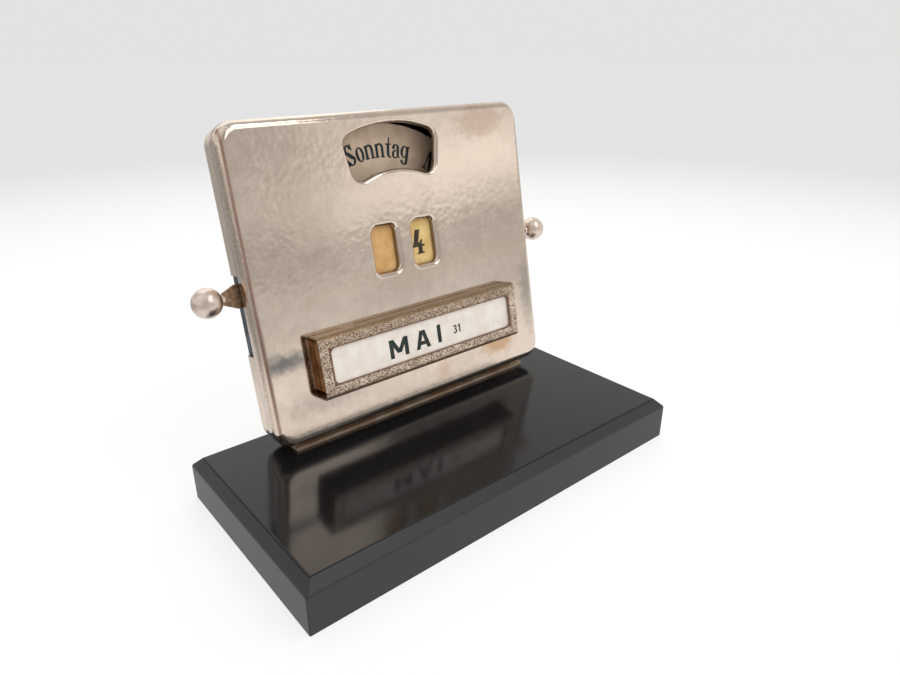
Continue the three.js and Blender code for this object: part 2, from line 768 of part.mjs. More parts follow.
// A coil that narrows on to its axis at both ends, where it hooks
class SpringPath extends THREE.Curve {
  constructor(x, bottom, top) {
    super();
    this.x = x;
    this.bottom = bottom;
    this.top = top;
  }

  getPoint(t, target = new THREE.Vector3()) {
    const hookShare = 0.12;
    const width = springRadius * THREE.MathUtils.smoothstep(Math.min(t, 1 - t) / hookShare, 0, 1);
    const angle = 2 * Math.PI * springTurns * t;
    const level = this.bottom + (this.top - this.bottom) * t;
    return target.set(this.x + width * Math.cos(angle), springCentre + width * Math.sin(angle), level);
  }
}

function returnSpring(side) {
  const wireSides = 5;
  const stepsPerTurn = 8;
  const clear = springPin + seatGap;
  const path = new SpringPath(side * springX, arborHeight + springPinRise + clear, springLevel - clear);
  const lastAngle = 2 * Math.PI * (1 - 1 / wireSides);
  const wire = arcPoints(new THREE.Vector2(), springWire / 2, 0, lastAngle, wireSides - 1);
  const options = { steps: springTurns * stepsPerTurn, extrudePath: path, bevelEnabled: false };
  return outward(new THREE.ExtrudeGeometry(new THREE.Shape(wire), options));
}

// Leaf springs that hold each wheel between steps: an eye on a post, a blade and a bump by the teeth
function detents() {
  const leaf = (name, centreX, centreZ, radius, above, postSide, front, back, postSpan) => {
    const tip = centreZ + above * (radius + tipGap);
    const level = tip + above * leafStandoff;
    const postX = centreX + postSide * leafReach;
    return { name, tipX: centreX, tip, level, postX, postSide, front, back, postSpan };
  };
  const rear = [wheelDepth, wheelDepth + wheelThick];
  const rearPost = [plateDepth, wheelDepth + wheelThick + seatGap];
  const front = [frontLayer, frontLayer + frontThick];
  const frontPost = [frontLayer - seatGap, plateBack];
  return [
    leaf("weekday_detent", 0, arborHeight, weekdayRatchetRadius, -1, 1, ...rear, rearPost),
    leaf("units_detent", wheelX, dateLevel, unitsRatchetRadius, 1, 1, ...rear, rearPost),
    leaf("tens_detent", -wheelX, dateLevel, tensRatchetRadius, -1, -1, ...front, frontPost),
  ];
}

function detent(leaf) {
  const half = leafThick / 2;
  const endX = leaf.tipX - leaf.postSide * 2 * leafBump;
  const blade = slab(polygon([[endX, leaf.level - half], [leaf.postX, leaf.level - half],
    [leaf.postX, leaf.level + half], [endX, leaf.level + half]]), leaf.front, leaf.back);
  const bump = slab(polygon([[leaf.tipX - leafBump, leaf.level], [leaf.tipX + leafBump, leaf.level],
    [leaf.tipX, leaf.tip]]), leaf.front, leaf.back);
  const eye = round(leaf.postX, leaf.level, leafEye, leaf.front, leaf.back);
  const bore = round(leaf.postX, leaf.level, leafPost + seatGap, leaf.front - overrun, leaf.back + overrun);
  return cut(join(eye, blade, bump), bore);
}

// Card holder: a sleeve open at both ends, held by four tabs folded over behind the face
function cardHolder() {
  const bendY = holderRound - holderDepth;
  const low = holderBottom + holderRound;
  const high = holderTop - holderRound;
  const inner = holderRound - sheet;
  const half = Math.PI / 2;
  const section = new THREE.Shape();
  section.moveTo(-seatGap, holderBottom);
  section.absarc(bendY, low, holderRound, -half, -2 * half, true);
  section.absarc(bendY, high, holderRound, 2 * half, half, true);
  section.lineTo(-seatGap, holderTop);
  section.lineTo(-seatGap, holderTop - sheet);
  section.absarc(bendY, high, inner, half, 2 * half, false);
  section.absarc(bendY, low, inner, 2 * half, 3 * half, false);
  section.lineTo(-seatGap, holderBottom + sheet);
  const sleeve = alongX(section, -holderHalfWidth, holderHalfWidth);
  const fold = sheet + seatGap;
  const tabs = tabWalls().flatMap((wall) => {
    const [left, right] = [wall.x - tabWidth / 2, wall.x + tabWidth / 2];
    return [
      block(left, right, -overrun, fold + sheet, wall.bottom, wall.top),
      block(left, right, fold, fold + sheet, wall.footBottom, wall.footTop),
    ];
  });
  const pane = {
    left: -holderWindowHalf, right: holderWindowHalf, bottom: holderWindowBottom, top: holderWindowTop,
  };
  const window = slab(new THREE.Shape(roundedRing(pane, holderWindowCorner, 0)),
    -holderDepth - overrun, -holderDepth + sheet + overrun);
  return cut(join(sleeve, ...tabs), window);
}

function card(place) {
  const box = {
    left: -cardHalfWidth, right: cardHalfWidth,
    bottom: holderBottom + sheet + cardMargin, top: holderTop - sheet - cardMargin,
  };
  const front = sheet + seatGap - holderDepth + place * cardPitch;
  return slab(new THREE.Shape(roundedRing(box, cardCorner, 0, cardCornerSteps)), front, front + cardThick);
}

// Finishes
function finish(color, roughness, metalness) {
  return () => new THREE.MeshStandardMaterial({ color, roughness, metalness });
}

const nickel = finish(0xc3b3a3, 0.32, 0.9);
const wornNickel = finish(0xa99984, 0.45, 0.8);
const steel = finish(0x8d8c88, 0.4, 0.9);
const brass = finish(0xa58a52, 0.4, 0.85);
const bronze = finish(0x7d6955, 0.4, 0.8);
const darkStone = finish(0x1b1a1a, 0.2, 0);
const greyDisc = finish(0xa5967f, 0.6, 0);
const celluloid = finish(0xd0b070, 0.45, 0);
const orangeCelluloid = finish(0xcaa56a, 0.45, 0);
const cardStock = finish(0xe6dcd0, 0.7, 0);

// Assembly
const calendar = new THREE.Group();
const caseGroup = new THREE.Group();
caseGroup.position.copy(caseOrigin);
caseGroup.rotation.x = -caseLean;
caseGroup.updateMatrix();
calendar.add(caseGroup);

function add(parent, name, geometry, makeMaterial) {
  const mesh = new THREE.Mesh(geometry, makeMaterial());
  mesh.name = name;
  parent.add(mesh);
}

add(calendar, "base_block", baseBlock(), darkStone);
add(calendar, "foot_bracket", footBracket(caseGroup.matrix), steel);
screwPlaces().forEach((x, i) =>
  add(calendar, ["base_screw_left", "base_screw_right"][i], baseScrew(x), steel));

add(caseGroup, "front_shell", frontShell(), nickel);
add(caseGroup, "rear_shell", rearShell(), nickel);
add(caseGroup, "card_holder", cardHolder(), wornNickel);
add(caseGroup, "movement_plate", movementPlate(), steel);
Object.entries(pillarPlaces()).forEach(([name, place]) => {
  const lower = name.includes("lower");
  const seat = lower ? caseDepth + seatGap + bracketSheet : caseDepth;
  add(caseGroup, name, pillar(place), brass);
  add(caseGroup, name.replace("pillar", "case_screw"), caseScrew(place, seat), steel);
});
for (let place = 0; place < cardCount; place += 1) {
  add(caseGroup, place === 0 ? "month_card" : `spare_card_${place}`, card(place), cardStock);
}

const weekdayHubRear = [wheelDepth, wheelDepth + wheelThick];
add(caseGroup, "main_arbor", mainArbor(), steel);
add(caseGroup, "main_clip", clip(0, arborHeight, mainClipDepth()), steel);
add(caseGroup, "weekday_disc", weekdayDisc(), greyDisc);
add(caseGroup, "weekday_ratchet",
  ratchet(0, arborHeight, weekdayTeeth, weekdayRatchetRadius, -1, ...weekdayHubRear), brass);

add(caseGroup, "units_arbor", unitsArbor(), steel);
add(caseGroup, "units_disc", dateDisc(wheelX, neckRadius), celluloid);
add(caseGroup, "units_ratchet",
  ratchet(wheelX, dateLevel, unitsTeeth, unitsRatchetRadius, 1, ...weekdayHubRear), brass);
add(caseGroup, "carry_finger", carryFinger(), steel);
add(caseGroup, "carry_lever", carryLever(), steel);

add(caseGroup, "tens_arbor", tensArbor(), steel);
add(caseGroup, "tens_clip", clip(-wheelX, dateLevel, dateDiscDepth - 2 * seatGap - clipThick), steel);
add(caseGroup, "tens_disc", dateDisc(-wheelX, postRadius), orangeCelluloid);
add(caseGroup, "tens_ratchet",
  ratchet(-wheelX, dateLevel, tensTeeth, tensRatchetRadius, 1, frontLayer, frontLayer + frontThick), brass);

add(caseGroup, "right_lever", lever(1, 0, 0, rightPawlX), bronze);
add(caseGroup, "left_lever", lever(-1, leftPivotX, leftPawlX + pawlHub + seatGap, leftPawlX), bronze);
add(caseGroup, "right_knob", knob(1), nickel);
add(caseGroup, "left_knob", knob(-1), nickel);
add(caseGroup, "left_stud", leftStud(), steel);
add(caseGroup, "left_clip", clip(leftPivotX, arborHeight, leverDepth + leverThick + seatGap), steel);
const unitsEdge = wheelX + unitsRatchetRadius + tipGap;
const weekdayEdge = weekdayRatchetRadius + tipGap;
add(caseGroup, "right_pawl", pawl(1, rightPawlX, unitsEdge, rightPawlRise), steel);
add(caseGroup, "left_pawl", pawl(-1, leftPawlX, -weekdayEdge, leftPawlRise), steel);
add(caseGroup, "right_return_spring", returnSpring(1), steel);
add(caseGroup, "left_return_spring", returnSpring(-1), steel);
detents().forEach((leaf) => add(caseGroup, leaf.name, detent(leaf), steel));

export default calendar;
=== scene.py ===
import math

import bmesh
import bpy
from mathutils import Matrix, Vector


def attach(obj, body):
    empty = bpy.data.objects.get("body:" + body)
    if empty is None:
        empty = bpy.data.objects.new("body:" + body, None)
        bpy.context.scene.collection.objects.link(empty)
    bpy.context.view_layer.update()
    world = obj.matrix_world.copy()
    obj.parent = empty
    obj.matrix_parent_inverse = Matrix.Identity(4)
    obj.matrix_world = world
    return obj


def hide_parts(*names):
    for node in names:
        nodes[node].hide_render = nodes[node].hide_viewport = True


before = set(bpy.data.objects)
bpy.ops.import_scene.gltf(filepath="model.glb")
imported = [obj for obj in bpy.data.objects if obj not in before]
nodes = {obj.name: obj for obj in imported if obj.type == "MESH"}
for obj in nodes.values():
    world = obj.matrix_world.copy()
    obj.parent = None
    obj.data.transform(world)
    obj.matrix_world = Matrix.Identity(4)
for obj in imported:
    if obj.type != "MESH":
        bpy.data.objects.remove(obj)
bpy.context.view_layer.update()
print("frame loaded,", len(nodes), "nodes")

# The case leans back. Its pieces are drawn in millimetres in its own frame:
# x right, y from the face to the back, z up from its lowest edge.
mm = 0.001
hair = 0.001   # millimetres; what is closer counts as the same place
caseLean = math.radians(11.2)
caseOrigin = Vector((0.0044, 0.0158, 0.02074))
slabToFrame = Matrix.Scale(mm, 4)
caseToFrame = Matrix.Translation(caseOrigin) @ Matrix.Rotation(-caseLean, 4, "X") @ slabToFrame


# Shader arithmetic
class Wire:
    def __init__(self, graph, socket):
        self.graph = graph
        self.socket = socket

    def combine(self, operation, first, second):
        kind = "VectorMath" if self.socket.type == "VECTOR" else "Math"
        return self.graph.node(kind, {"operation": operation}, {0: first, 1: second})

    def __add__(self, other):
        return self.combine("ADD", self, other)

    def __radd__(self, other):
        return self.combine("ADD", other, self)

    def __sub__(self, other):
        return self.combine("SUBTRACT", self, other)

    def __rsub__(self, other):
        return self.combine("SUBTRACT", other, self)

    def __mul__(self, other):
        return self.combine("MULTIPLY", self, other)

    def __rmul__(self, other):
        return self.combine("MULTIPLY", other, self)

    def __truediv__(self, other):
        return self.combine("DIVIDE", self, other)

    def __pow__(self, other):
        return self.combine("POWER", self, other)


class Graph:
    def __init__(self, tree):
        self.tree = tree

    def feed(self, socket, value):
        if isinstance(value, Wire):
            self.tree.links.new(value.socket, socket)
        else:
            socket.default_value = value

    def node(self, kind, settings=None, inputs=None, output=0):
        made = self.tree.nodes.new("ShaderNode" + kind)
        for key, value in (settings or {}).items():
            if key == "stops":
                ramp = made.color_ramp
                while len(ramp.elements) < len(value):
                    ramp.elements.new(1)
                for element, (position, colour) in zip(ramp.elements, value):
                    element.position = position
                    element.color = colour
            else:
                setattr(made, key, value)
        for key, value in (inputs or {}).items():
            self.feed(made.inputs[key], value)
        return Wire(self, made.outputs[output])

    def split(self, vector):   # its x, y and z
        return [self.node("SeparateXYZ", {}, {0: vector}, axis) for axis in "XYZ"]

    def absolute(self, value):
        return self.node("Math", {"operation": "ABSOLUTE"}, {0: value})

    def mix(self, factor, low, high):   # the colour sockets of the node are 6 and 7, its colour output is 2
        return self.node("Mix", {"data_type": "RGBA"}, {0: factor, 6: low, 7: high}, 2)

    def between(self, factor, low, high):   # the same for plain numbers
        return low + factor * (high - low)

    def fade(self, value, start, full):   # 0 at start, 1 at full, soft between; start may be the larger
        settings = {"interpolation_type": "SMOOTHSTEP"}
        return self.node("MapRange", settings, {0: value, 1: start, 2: full})

    def noise(self, place, scale, detail=3, roughness=0.5):
        inputs = {"Vector": place, "Scale": scale, "Detail": detail, "Roughness": roughness}
        return self.node("TexNoise", {}, inputs)

    def cells(self, place, scale, smoothness=0.6):
        settings = {"feature": "SMOOTH_F1"}
        return self.node("TexVoronoi", settings, {"Vector": place, "Scale": scale, "Smoothness": smoothness})


def paint(red, green, blue):   # a colour as it looks, 0 to 255, to linear
    parts = [part / 255 for part in (red, green, blue)]
    return [part / 12.92 if part < 0.04045 else ((part + 0.055) / 1.055) ** 2.4 for part in parts] + [1]


class Finish(Graph):
    def __init__(self, name, plain):
        self.material = bpy.data.materials.new(name)
        self.material.use_nodes = True
        super().__init__(self.material.node_tree)
        self.shader = self.tree.nodes["Principled BSDF"]
        for socket, value in plain.items():
            self.shader.inputs[socket].default_value = value
        here = self.node("TexCoord", {}, {}, "Object")
        self.spot = here / (mm, mm, mm)   # millimetres in the shared frame
        self.inCase = self.node("Mapping", {"vector_type": "TEXTURE"}, {
            "Vector": here, "Location": caseOrigin, "Rotation": (-caseLean, 0, 0), "Scale": (mm, mm, mm)})
        self.x, self.y, self.z = self.split(self.inCase)

    def show(self, socket, value):
        self.feed(self.shader.inputs[socket], value)

    def relief(self, height, strength, distance):
        bump = self.node("Bump", {}, {"Height": height, "Strength": strength, "Distance": distance * mm})
        self.show("Normal", bump)


# Polished case, with places in the case's millimetres. A pair of numbers goes from where a thing sets in
# to where it is full, or from the least share to the most. Scales are those of the noise, per millimetre.
nickelLook = {
    "light": paint(240, 223, 207), "dark": paint(224, 207, 191), "tone": (0.38, 0.62),
    "rose": paint(194, 160, 142), "stain": paint(202, 156, 106), "smear": paint(134, 130, 125),
    "foldReflection": paint(160, 106, 90), "windowWallShade": paint(104, 84, 72), "windowWallShadeShare": 0.8,
    "speck": paint(110, 88, 72), "grime": paint(120, 98, 82), "grimeGrain": (0.45, 0.6),
    "grimeShare": (0.15, 0.45), "cloudScale": 0.03, "fineScale": 0.22, "grainScale": 1.4,
    "hammerScale": 0.5, "patchScale": 0.035, "pitScale": 0.32, "ragScale": 0.35, "rag": 0.9,
    # each mark: middle x and z, half width and height, softness, strength, tint
    # the three grey marks, two at the left and one at the right, are painted reflections of darker things
    # round the case
    "marks": [(42, 100, 15, 8, 0.6, 0.45, "rose"), (39, 11.5, 12.5, 6, 0.7, 0.7, "stain"),
              (9.5, 8.5, 4.5, 6, 0.9, 0.3, "stain"), (-56, 29.4, 20, 5, 0.95, 1, "smear"),
              (-42, 13, 26, 7, 0.95, 0.4, "smear"), (58, 28, 6, 24, 0.95, 0.5, "smear")],
    "faceLeft": (-61.2, -59.8), "leftFold": -61, "foldReflectionWidth": (0.7, 0.15), "sideWall": (61.6, 62.3),
    "windowsWidth": (57, 55), "windowsLow": (6, 8), "windowsHigh": (104.3, 103.9), "windowsWall": (0.8, 1.7),
    "dentsAcross": (50, -10), "dentsRight": 0.3, "dentsUp": (34, 62), "swayUp": (14, 50),
    "flareDown": (10, 0.5), "patch": (0.35, 0.6), "pit": (0.12, 0.05),
    # heights of the relief in millimetres; of a pair, the least and the most
    "swayHigh": (0.03, 0.3), "hammerHigh": (0.01, 0.065), "fineHigh": 0.03, "pitDeep": 0.012,
    "flareHigh": 0.22,
}
nickelWear = {
    "face": {"marked": True, "speck": (0.66, 0.74), "speckShare": 0.4,
             "roughness": 0.07, "uneven": 0.08, "grainHigh": 0.005},
    "sides": {"marked": False, "speck": (0.6, 0.7), "speckShare": 0.7,
              "roughness": 0.23, "uneven": 0.18, "grainHigh": 0.035},
}


def blot(finish, x, z, wide, high, soft):   # a patch with a ragged edge round a place on the face: a stain, or a painted reflection
    across = (finish.x - x) / wide
    up = (finish.z - z) / high
    reach = (across * across + up * up) ** 0.5
    ragged = reach + (finish.noise(finish.inCase, nickelLook["ragScale"], 4) - 0.5) * nickelLook["rag"]
    return finish.fade(ragged, 1, 1 - soft)


def agedNickel(name, wear):
    look = nickelLook
    finish = Finish(name, {"Metallic": 1})
    cloud = finish.noise(finish.inCase, look["cloudScale"], 4)
    fine = finish.noise(finish.inCase, look["fineScale"], 5, 0.6)
    grain = finish.noise(finish.inCase, look["grainScale"], 4, 0.7)
    width = finish.absolute(finish.x)
    colour = finish.mix(finish.fade(cloud * 0.6 + fine * 0.4, *look["tone"]), look["dark"], look["light"])
    if wear["marked"]:
        onFace = finish.fade(finish.x, *look["faceLeft"])
        # stains, and grey marks that are painted reflections
        for x, z, wide, high, soft, strength, tint in look["marks"]:
            mark = blot(finish, x, z, wide, high, soft) * onFace * strength
            colour = finish.mix(mark, colour, look[tint])
    # painted shade: what lies set back behind the face, such as the windows' inner walls, is darker brown
    walls = finish.fade(width, *look["windowsWidth"]) * finish.fade(finish.y, *look["windowsWall"])
    walls = walls * finish.fade(finish.z, *look["windowsLow"]) * finish.fade(finish.z, *look["windowsHigh"])
    colour = finish.mix(walls * look["windowWallShadeShare"], colour, look["windowWallShade"])
    if wear["marked"]:   # painted reflection of a reddish-brown thing, a line along the left fold
        foldReflectionMask = finish.fade(finish.absolute(finish.x - look["leftFold"]), *look["foldReflectionWidth"])
        colour = finish.mix(foldReflectionMask * (0.3 + fine * 0.7), colour, look["foldReflection"])
    speck = finish.fade(grain, *wear["speck"])
    colour = finish.mix(speck * wear["speckShare"], colour, look["speck"])
    grime = finish.between(finish.fade(grain, *look["grimeGrain"]), *look["grimeShare"])
    grime = grime * finish.fade(width, *look["sideWall"])   # the narrow side walls are dirtier than the face
    colour = finish.mix(grime, colour, look["grime"])
    finish.show("Base Color", colour)
    finish.show("Roughness", wear["roughness"] + fine * wear["uneven"] + speck * 0.2)

    hammer = finish.cells(finish.inCase, look["hammerScale"])
    patch = finish.fade(finish.noise(finish.inCase, look["patchScale"], 2), *look["patch"])
    patch = patch * finish.fade(finish.z, *look["dentsUp"])
    patch = patch * finish.between(finish.fade(finish.x, *look["dentsAcross"]), look["dentsRight"], 1)
    pits = finish.fade(finish.cells(finish.inCase, look["pitScale"], 0), *look["pit"])
    sway = finish.noise(finish.inCase, look["cloudScale"], 1)
    sway = sway * finish.between(finish.fade(finish.z, *look["swayUp"]), *look["swayHigh"])
    flare = finish.fade(finish.z, *look["flareDown"]) * look["flareHigh"]   # the lower fold stands out
    dents = hammer * finish.between(patch, *look["hammerHigh"]) + fine * look["fineHigh"]
    dents = dents + grain * wear["grainHigh"] - pits * look["pitDeep"]
    finish.relief(sway + dents + flare, 0.6, 1)
    return finish.material


# Card sleeve: nickel worn down to the tips of its pebbles, brown between them
sleeveLook = {
    "metal": (paint(206, 186, 166), paint(238, 220, 202)), "metalWear": (0.35, 0.65),
    "brown": (paint(84, 62, 46), paint(128, 98, 74)),
    "upper": paint(150, 122, 92), "upperFront": (30, 32.4), "upperShare": 0.4,
    "top": paint(136, 112, 78), "topFold": (34.4, 35.4), "topShare": 0.75,
    "low": paint(132, 100, 70), "lowFold": (15.9, 15.1), "lowShare": 0.65,
    "windowEdgeShade": paint(112, 66, 42), "windowEdgeShadeWidth": (0.7, 0.25), "windowEdgeShadeShare": 0.75,
    "lineX": 41.2, "lineLevel": 25.3, "lineUp": 6.3,
    "inside": paint(120, 84, 48), "insideShare": 0.8,
    "insideDepth": (-5.9, -5.7), "insideLow": (14.7, 14.9), "insideHigh": (35.4, 35.2),
    "pebbleScale": 1.9, "pebble": (0.34, 0.52), "ragScale": 2.6, "rag": 0.2,
    "wearScale": 0.8, "wearStretch": (0.25, 1, 0.5),
    "roughness": (0.46, 0.32),   # between the pebbles and on them
}


def wornNickel(name):
    look = sleeveLook
    finish = Finish(name, {"Metallic": 0.75})
    rag = (finish.noise(finish.inCase, look["ragScale"], 2) - 0.5) * look["rag"]
    bump = finish.fade(finish.cells(finish.inCase, look["pebbleScale"], 0) + rag, *look["pebble"])
    wear = finish.noise(finish.inCase * look["wearStretch"], look["wearScale"], 4)
    metal = finish.mix(finish.fade(wear, *look["metalWear"]), *look["metal"])
    metal = finish.mix(finish.fade(finish.z, *look["upperFront"]) * look["upperShare"], metal, look["upper"])
    colour = finish.mix(bump, finish.mix(wear, *look["brown"]), metal)
    colour = finish.mix(finish.fade(finish.z, *look["topFold"]) * look["topShare"], colour, look["top"])
    colour = finish.mix(finish.fade(finish.z, *look["lowFold"]) * look["lowShare"], colour, look["low"])
    # painted shade: a thin dark brown line on the sleeve's front round the window's edge
    across = finish.absolute(finish.x) - look["lineX"]
    up = finish.absolute(finish.z - look["lineLevel"]) - look["lineUp"]
    past = finish.node("Math", {"operation": "MAXIMUM"}, {0: across, 1: up})   # how far past the window
    colour = finish.mix(finish.fade(past, *look["windowEdgeShadeWidth"]) * look["windowEdgeShadeShare"], colour, look["windowEdgeShade"])
    inside = finish.fade(finish.y, *look["insideDepth"]) * finish.fade(finish.z, *look["insideLow"])
    inside = inside * finish.fade(finish.z, *look["insideHigh"])
    colour = finish.mix(inside * look["insideShare"], colour, look["inside"])
    finish.show("Base Color", colour)
    finish.show("Roughness", finish.between(bump, *look["roughness"]))
    finish.relief(bump * 0.6 + wear * 0.3, 0.5, 0.2)
    return finish.material


def plainMetal(name, light, dark, roughness, scale=0.4):
    finish = Finish(name, {"Metallic": 1})
    cloud = finish.noise(finish.spot, scale, 4)
    fine = finish.noise(finish.spot * (1, 1, 6), 1.5, 3, 0.7)
    finish.show("Base Color", finish.mix(finish.fade(cloud, 0.35, 0.65), dark, light))
    finish.show("Roughness", roughness + cloud * 0.15 + fine * 0.06)
    finish.relief(fine, 0.4, 0.05)
    return finish.material


slabLook = {
    "tone": (paint(17, 17, 19), paint(26, 26, 28)), "side": paint(48, 48, 49), "sideShare": 0.8,
    "dust": paint(128, 124, 118), "dustShare": 0.7, "dustScale": 0.06, "dustSize": (0.018, 0.011),
    "cloudScale": 0.06, "scratchStretch": (0.06, 1.6, 1), "scratch": (0.72, 0.8),
    "rippleScale": 0.9, "polished": (16.3, 16.7), "roughness": (0.34, 0.1),   # of the sides and of the top
}


def blackSlab(name):
    look = slabLook
    finish = Finish(name, {"Specular IOR Level": 0.4})
    cloud = finish.noise(finish.spot, look["cloudScale"], 4)
    dust = finish.fade(finish.cells(finish.spot, look["dustScale"], 0), *look["dustSize"])
    scratch = finish.fade(finish.noise(finish.spot * look["scratchStretch"], 1, 2), *look["scratch"])
    polished = finish.fade(finish.split(finish.spot)[2], *look["polished"])
    colour = finish.mix(cloud, *look["tone"])
    colour = finish.mix((1 - polished) * look["sideShare"], colour, look["side"])
    colour = finish.mix(dust * polished * look["dustShare"], colour, look["dust"])
    finish.show("Base Color", colour)
    shine = finish.between(polished, *look["roughness"])
    finish.show("Roughness", shine + cloud * 0.04 + dust * 0.3 + scratch * 0.08)
    finish.relief(cloud * 0.5 + finish.noise(finish.spot, look["rippleScale"]) * 0.01, 0.15, 1)
    return finish.material


stockLook = {"cloudScale": 0.25, "fibreScale": 3.5, "tone": (0.35, 0.65), "cardEnds": (41, 43)}


def printedStock(name, light, dark, roughness, ends=None):   # ends: the two brown tones of a card's ends, the parts behind the sleeve's front
    look = stockLook
    finish = Finish(name, {"Specular IOR Level": 0.3})
    cloud = finish.noise(finish.inCase, look["cloudScale"], 4)
    fibre = finish.noise(finish.inCase, look["fibreScale"], 3, 0.7)
    tone = finish.fade(cloud * 0.8 + fibre * 0.2, *look["tone"])
    colour = finish.mix(tone, dark, light)
    if ends:
        brownEnds = finish.fade(finish.absolute(finish.x), *look["cardEnds"])
        colour = finish.mix(brownEnds, colour, finish.mix(tone, *ends))
    finish.show("Base Color", colour)
    finish.show("Roughness", roughness + fibre * 0.1)
    finish.relief(fibre, 0.15, 0.05)
    return finish.material


finishes = {
    "nickel": agedNickel("agedNickel", nickelWear["face"]),
    "sideNickel": agedNickel("sideNickel", nickelWear["sides"]),
    "holder": wornNickel("pebbledNickel"),
    "ball": plainMetal("satinBall", paint(242, 226, 214), paint(228, 210, 197), 0.2, 0.5),
    "arm": plainMetal("brownedArm", paint(186, 158, 132), paint(142, 114, 88), 0.42, 0.6),
    "strip": plainMetal("copperedStrip", paint(246, 226, 204), paint(224, 194, 166), 0.5, 0.1),
    "steel": plainMetal("plainSteel", paint(160, 160, 158), paint(122, 122, 122), 0.36),
    "plate": plainMetal("bluedPlate", paint(112, 120, 128), paint(78, 86, 94), 0.4),
    "brass": plainMetal("brass", paint(196, 164, 98), paint(160, 128, 72), 0.34),
    "slab": blackSlab("blackSlab"),
    "greyDisc": printedStock("greyDisc", paint(214, 192, 168), paint(198, 174, 150), 0.5),
    "yellowDisc": printedStock("yellowDisc", paint(222, 194, 132), paint(206, 172, 108), 0.4),
    "orangeDisc": printedStock("orangeDisc", paint(210, 170, 114), paint(194, 150, 90), 0.4),
    "card": printedStock("cardStock", paint(235, 227, 219), paint(225, 215, 205), 0.75),
    "agedCard": printedStock("agedCards", paint(236, 225, 206), paint(222, 208, 186), 0.75,
                             (paint(130, 86, 54), paint(176, 126, 82))),
    "blueInk": printedStock("blueInk", paint(52, 60, 66), paint(36, 42, 50), 0.6),
    "brownInk": printedStock("brownInk", paint(74, 62, 50), paint(52, 44, 36), 0.6),
    "greenInk": printedStock("greenInk", paint(52, 60, 56), paint(34, 42, 40), 0.6),
}

nodeFinishes = {   # every other node is plain steel
    "strip": ["foot_bracket"],
    "plate": ["movement_plate"],
    "arm": ["left_lever", "right_lever"],
    "brass": ["weekday_ratchet", "units_ratchet", "tens_ratchet", "pillar_lower_left", "pillar_lower_right",
              "pillar_upper_left", "pillar_upper_right", "carry_finger"],
    "greyDisc": ["weekday_disc"],
    "yellowDisc": ["units_disc"],
    "orangeDisc": ["tens_disc"],
    "agedCard": ["spare_card_%d" % count for count in range(1, 6)],
}


def dress(node, finish):
    node.data.materials.clear()
    node.data.materials.append(finish)


for node in nodes.values():
    dress(node, finishes["steel"])
for finishName, names in nodeFinishes.items():
    for name in names:
        dress(nodes[name], finishes[finishName])
print("finishes on every node")


# Mesh helpers
def shift(x, y, z):
    return Matrix.Translation((x, y, z))


def arc(centre, radius, start, end, steps):
    angles = [start + (end - start) * step / steps for step in range(steps + 1)]
    return [Vector((centre[0] + radius * math.cos(a), centre[1] + radius * math.sin(a))) for a in angles]


def edgesWhere(edges, test):
    return [edge for edge in edges if all(test(vert.co) for vert in edge.verts)]


def lowest(faces, axis):   # the face whose middle has the least of an axis: 0 for x, 1 for y, 2 for z
    return min(faces, key=lambda face: face.calc_center_median()[axis])


def addBox(bm, centre, size):
    bmesh.ops.create_cube(bm, size=1, matrix=shift(*centre) @ Matrix.Diagonal((*size, 1)))


def bevel(bm, geom, offset, segments, affect="EDGES"):
    bmesh.ops.bevel(bm, geom=geom, offset=offset, offset_type="OFFSET", affect=affect,
                    segments=segments, profile=0.5, material=-1)


def cutOut(bm, face):   # takes the face away and gives the edges round it
    around = face.edges[:]
    bmesh.ops.delete(bm, geom=[face], context="FACES_ONLY")
    return around


def fill(bm, edges):   # a flat face between an outline and the outlines within it
    bmesh.ops.triangle_fill(bm, use_beauty=True, use_dissolve=False, edges=edges)


def flatFace(bm, outline, depth=0):
    return bm.faces.new([bm.verts.new((x, depth, z)) for x, z in outline])


def roundedFace(bm, centre, width, height, radius, depth, segments):
    x, z = centre
    corners = [(x - width / 2, z - height / 2), (x + width / 2, z - height / 2),
               (x + width / 2, z + height / 2), (x - width / 2, z + height / 2)]
    face = flatFace(bm, corners, depth)
    bevel(bm, face.verts[:], radius, segments, "VERTICES")
    bm.faces.ensure_lookup_table()
    return bm.faces[-1]


def drawEdges(bm, edges, way):   # extrudes edges and moves what is new
    made = bmesh.ops.extrude_edge_only(bm, edges=edges)["geom"]
    bmesh.ops.translate(bm, vec=way, verts=[part for part in made if isinstance(part, bmesh.types.BMVert)])
    return [part for part in made if isinstance(part, bmesh.types.BMEdge)]


def turnFrontwards(bm):   # faces of an open skin point out of the case's face
    bmesh.ops.recalc_face_normals(bm, faces=bm.faces[:])
    front = min(bm.faces, key=lambda face: face.calc_center_median().y - face.calc_area())
    if front.normal.y > 0:
        bmesh.ops.reverse_faces(bm, faces=bm.faces[:])


def finished(name, bm, finish, body, replaced=(), place=caseToFrame, angle=35):
    bmesh.ops.transform(bm, matrix=place, verts=bm.verts[:])
    mesh = bpy.data.meshes.new(name)
    bm.to_mesh(mesh)
    bm.free()
    mesh.shade_smooth()
    mesh.set_sharp_from_angle(angle=math.radians(angle))
    mesh.materials.append(finishes[finish])
    made = bpy.data.objects.new(name, mesh)
    bpy.context.scene.collection.objects.link(made)
    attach(made, body)
    if replaced:
        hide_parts(*replaced)
    return made


def evenShading(piece, weight=50):
    even = piece.modifiers.new("even", "WEIGHTED_NORMAL")
    even.keep_sharp = True
    even.weight = weight


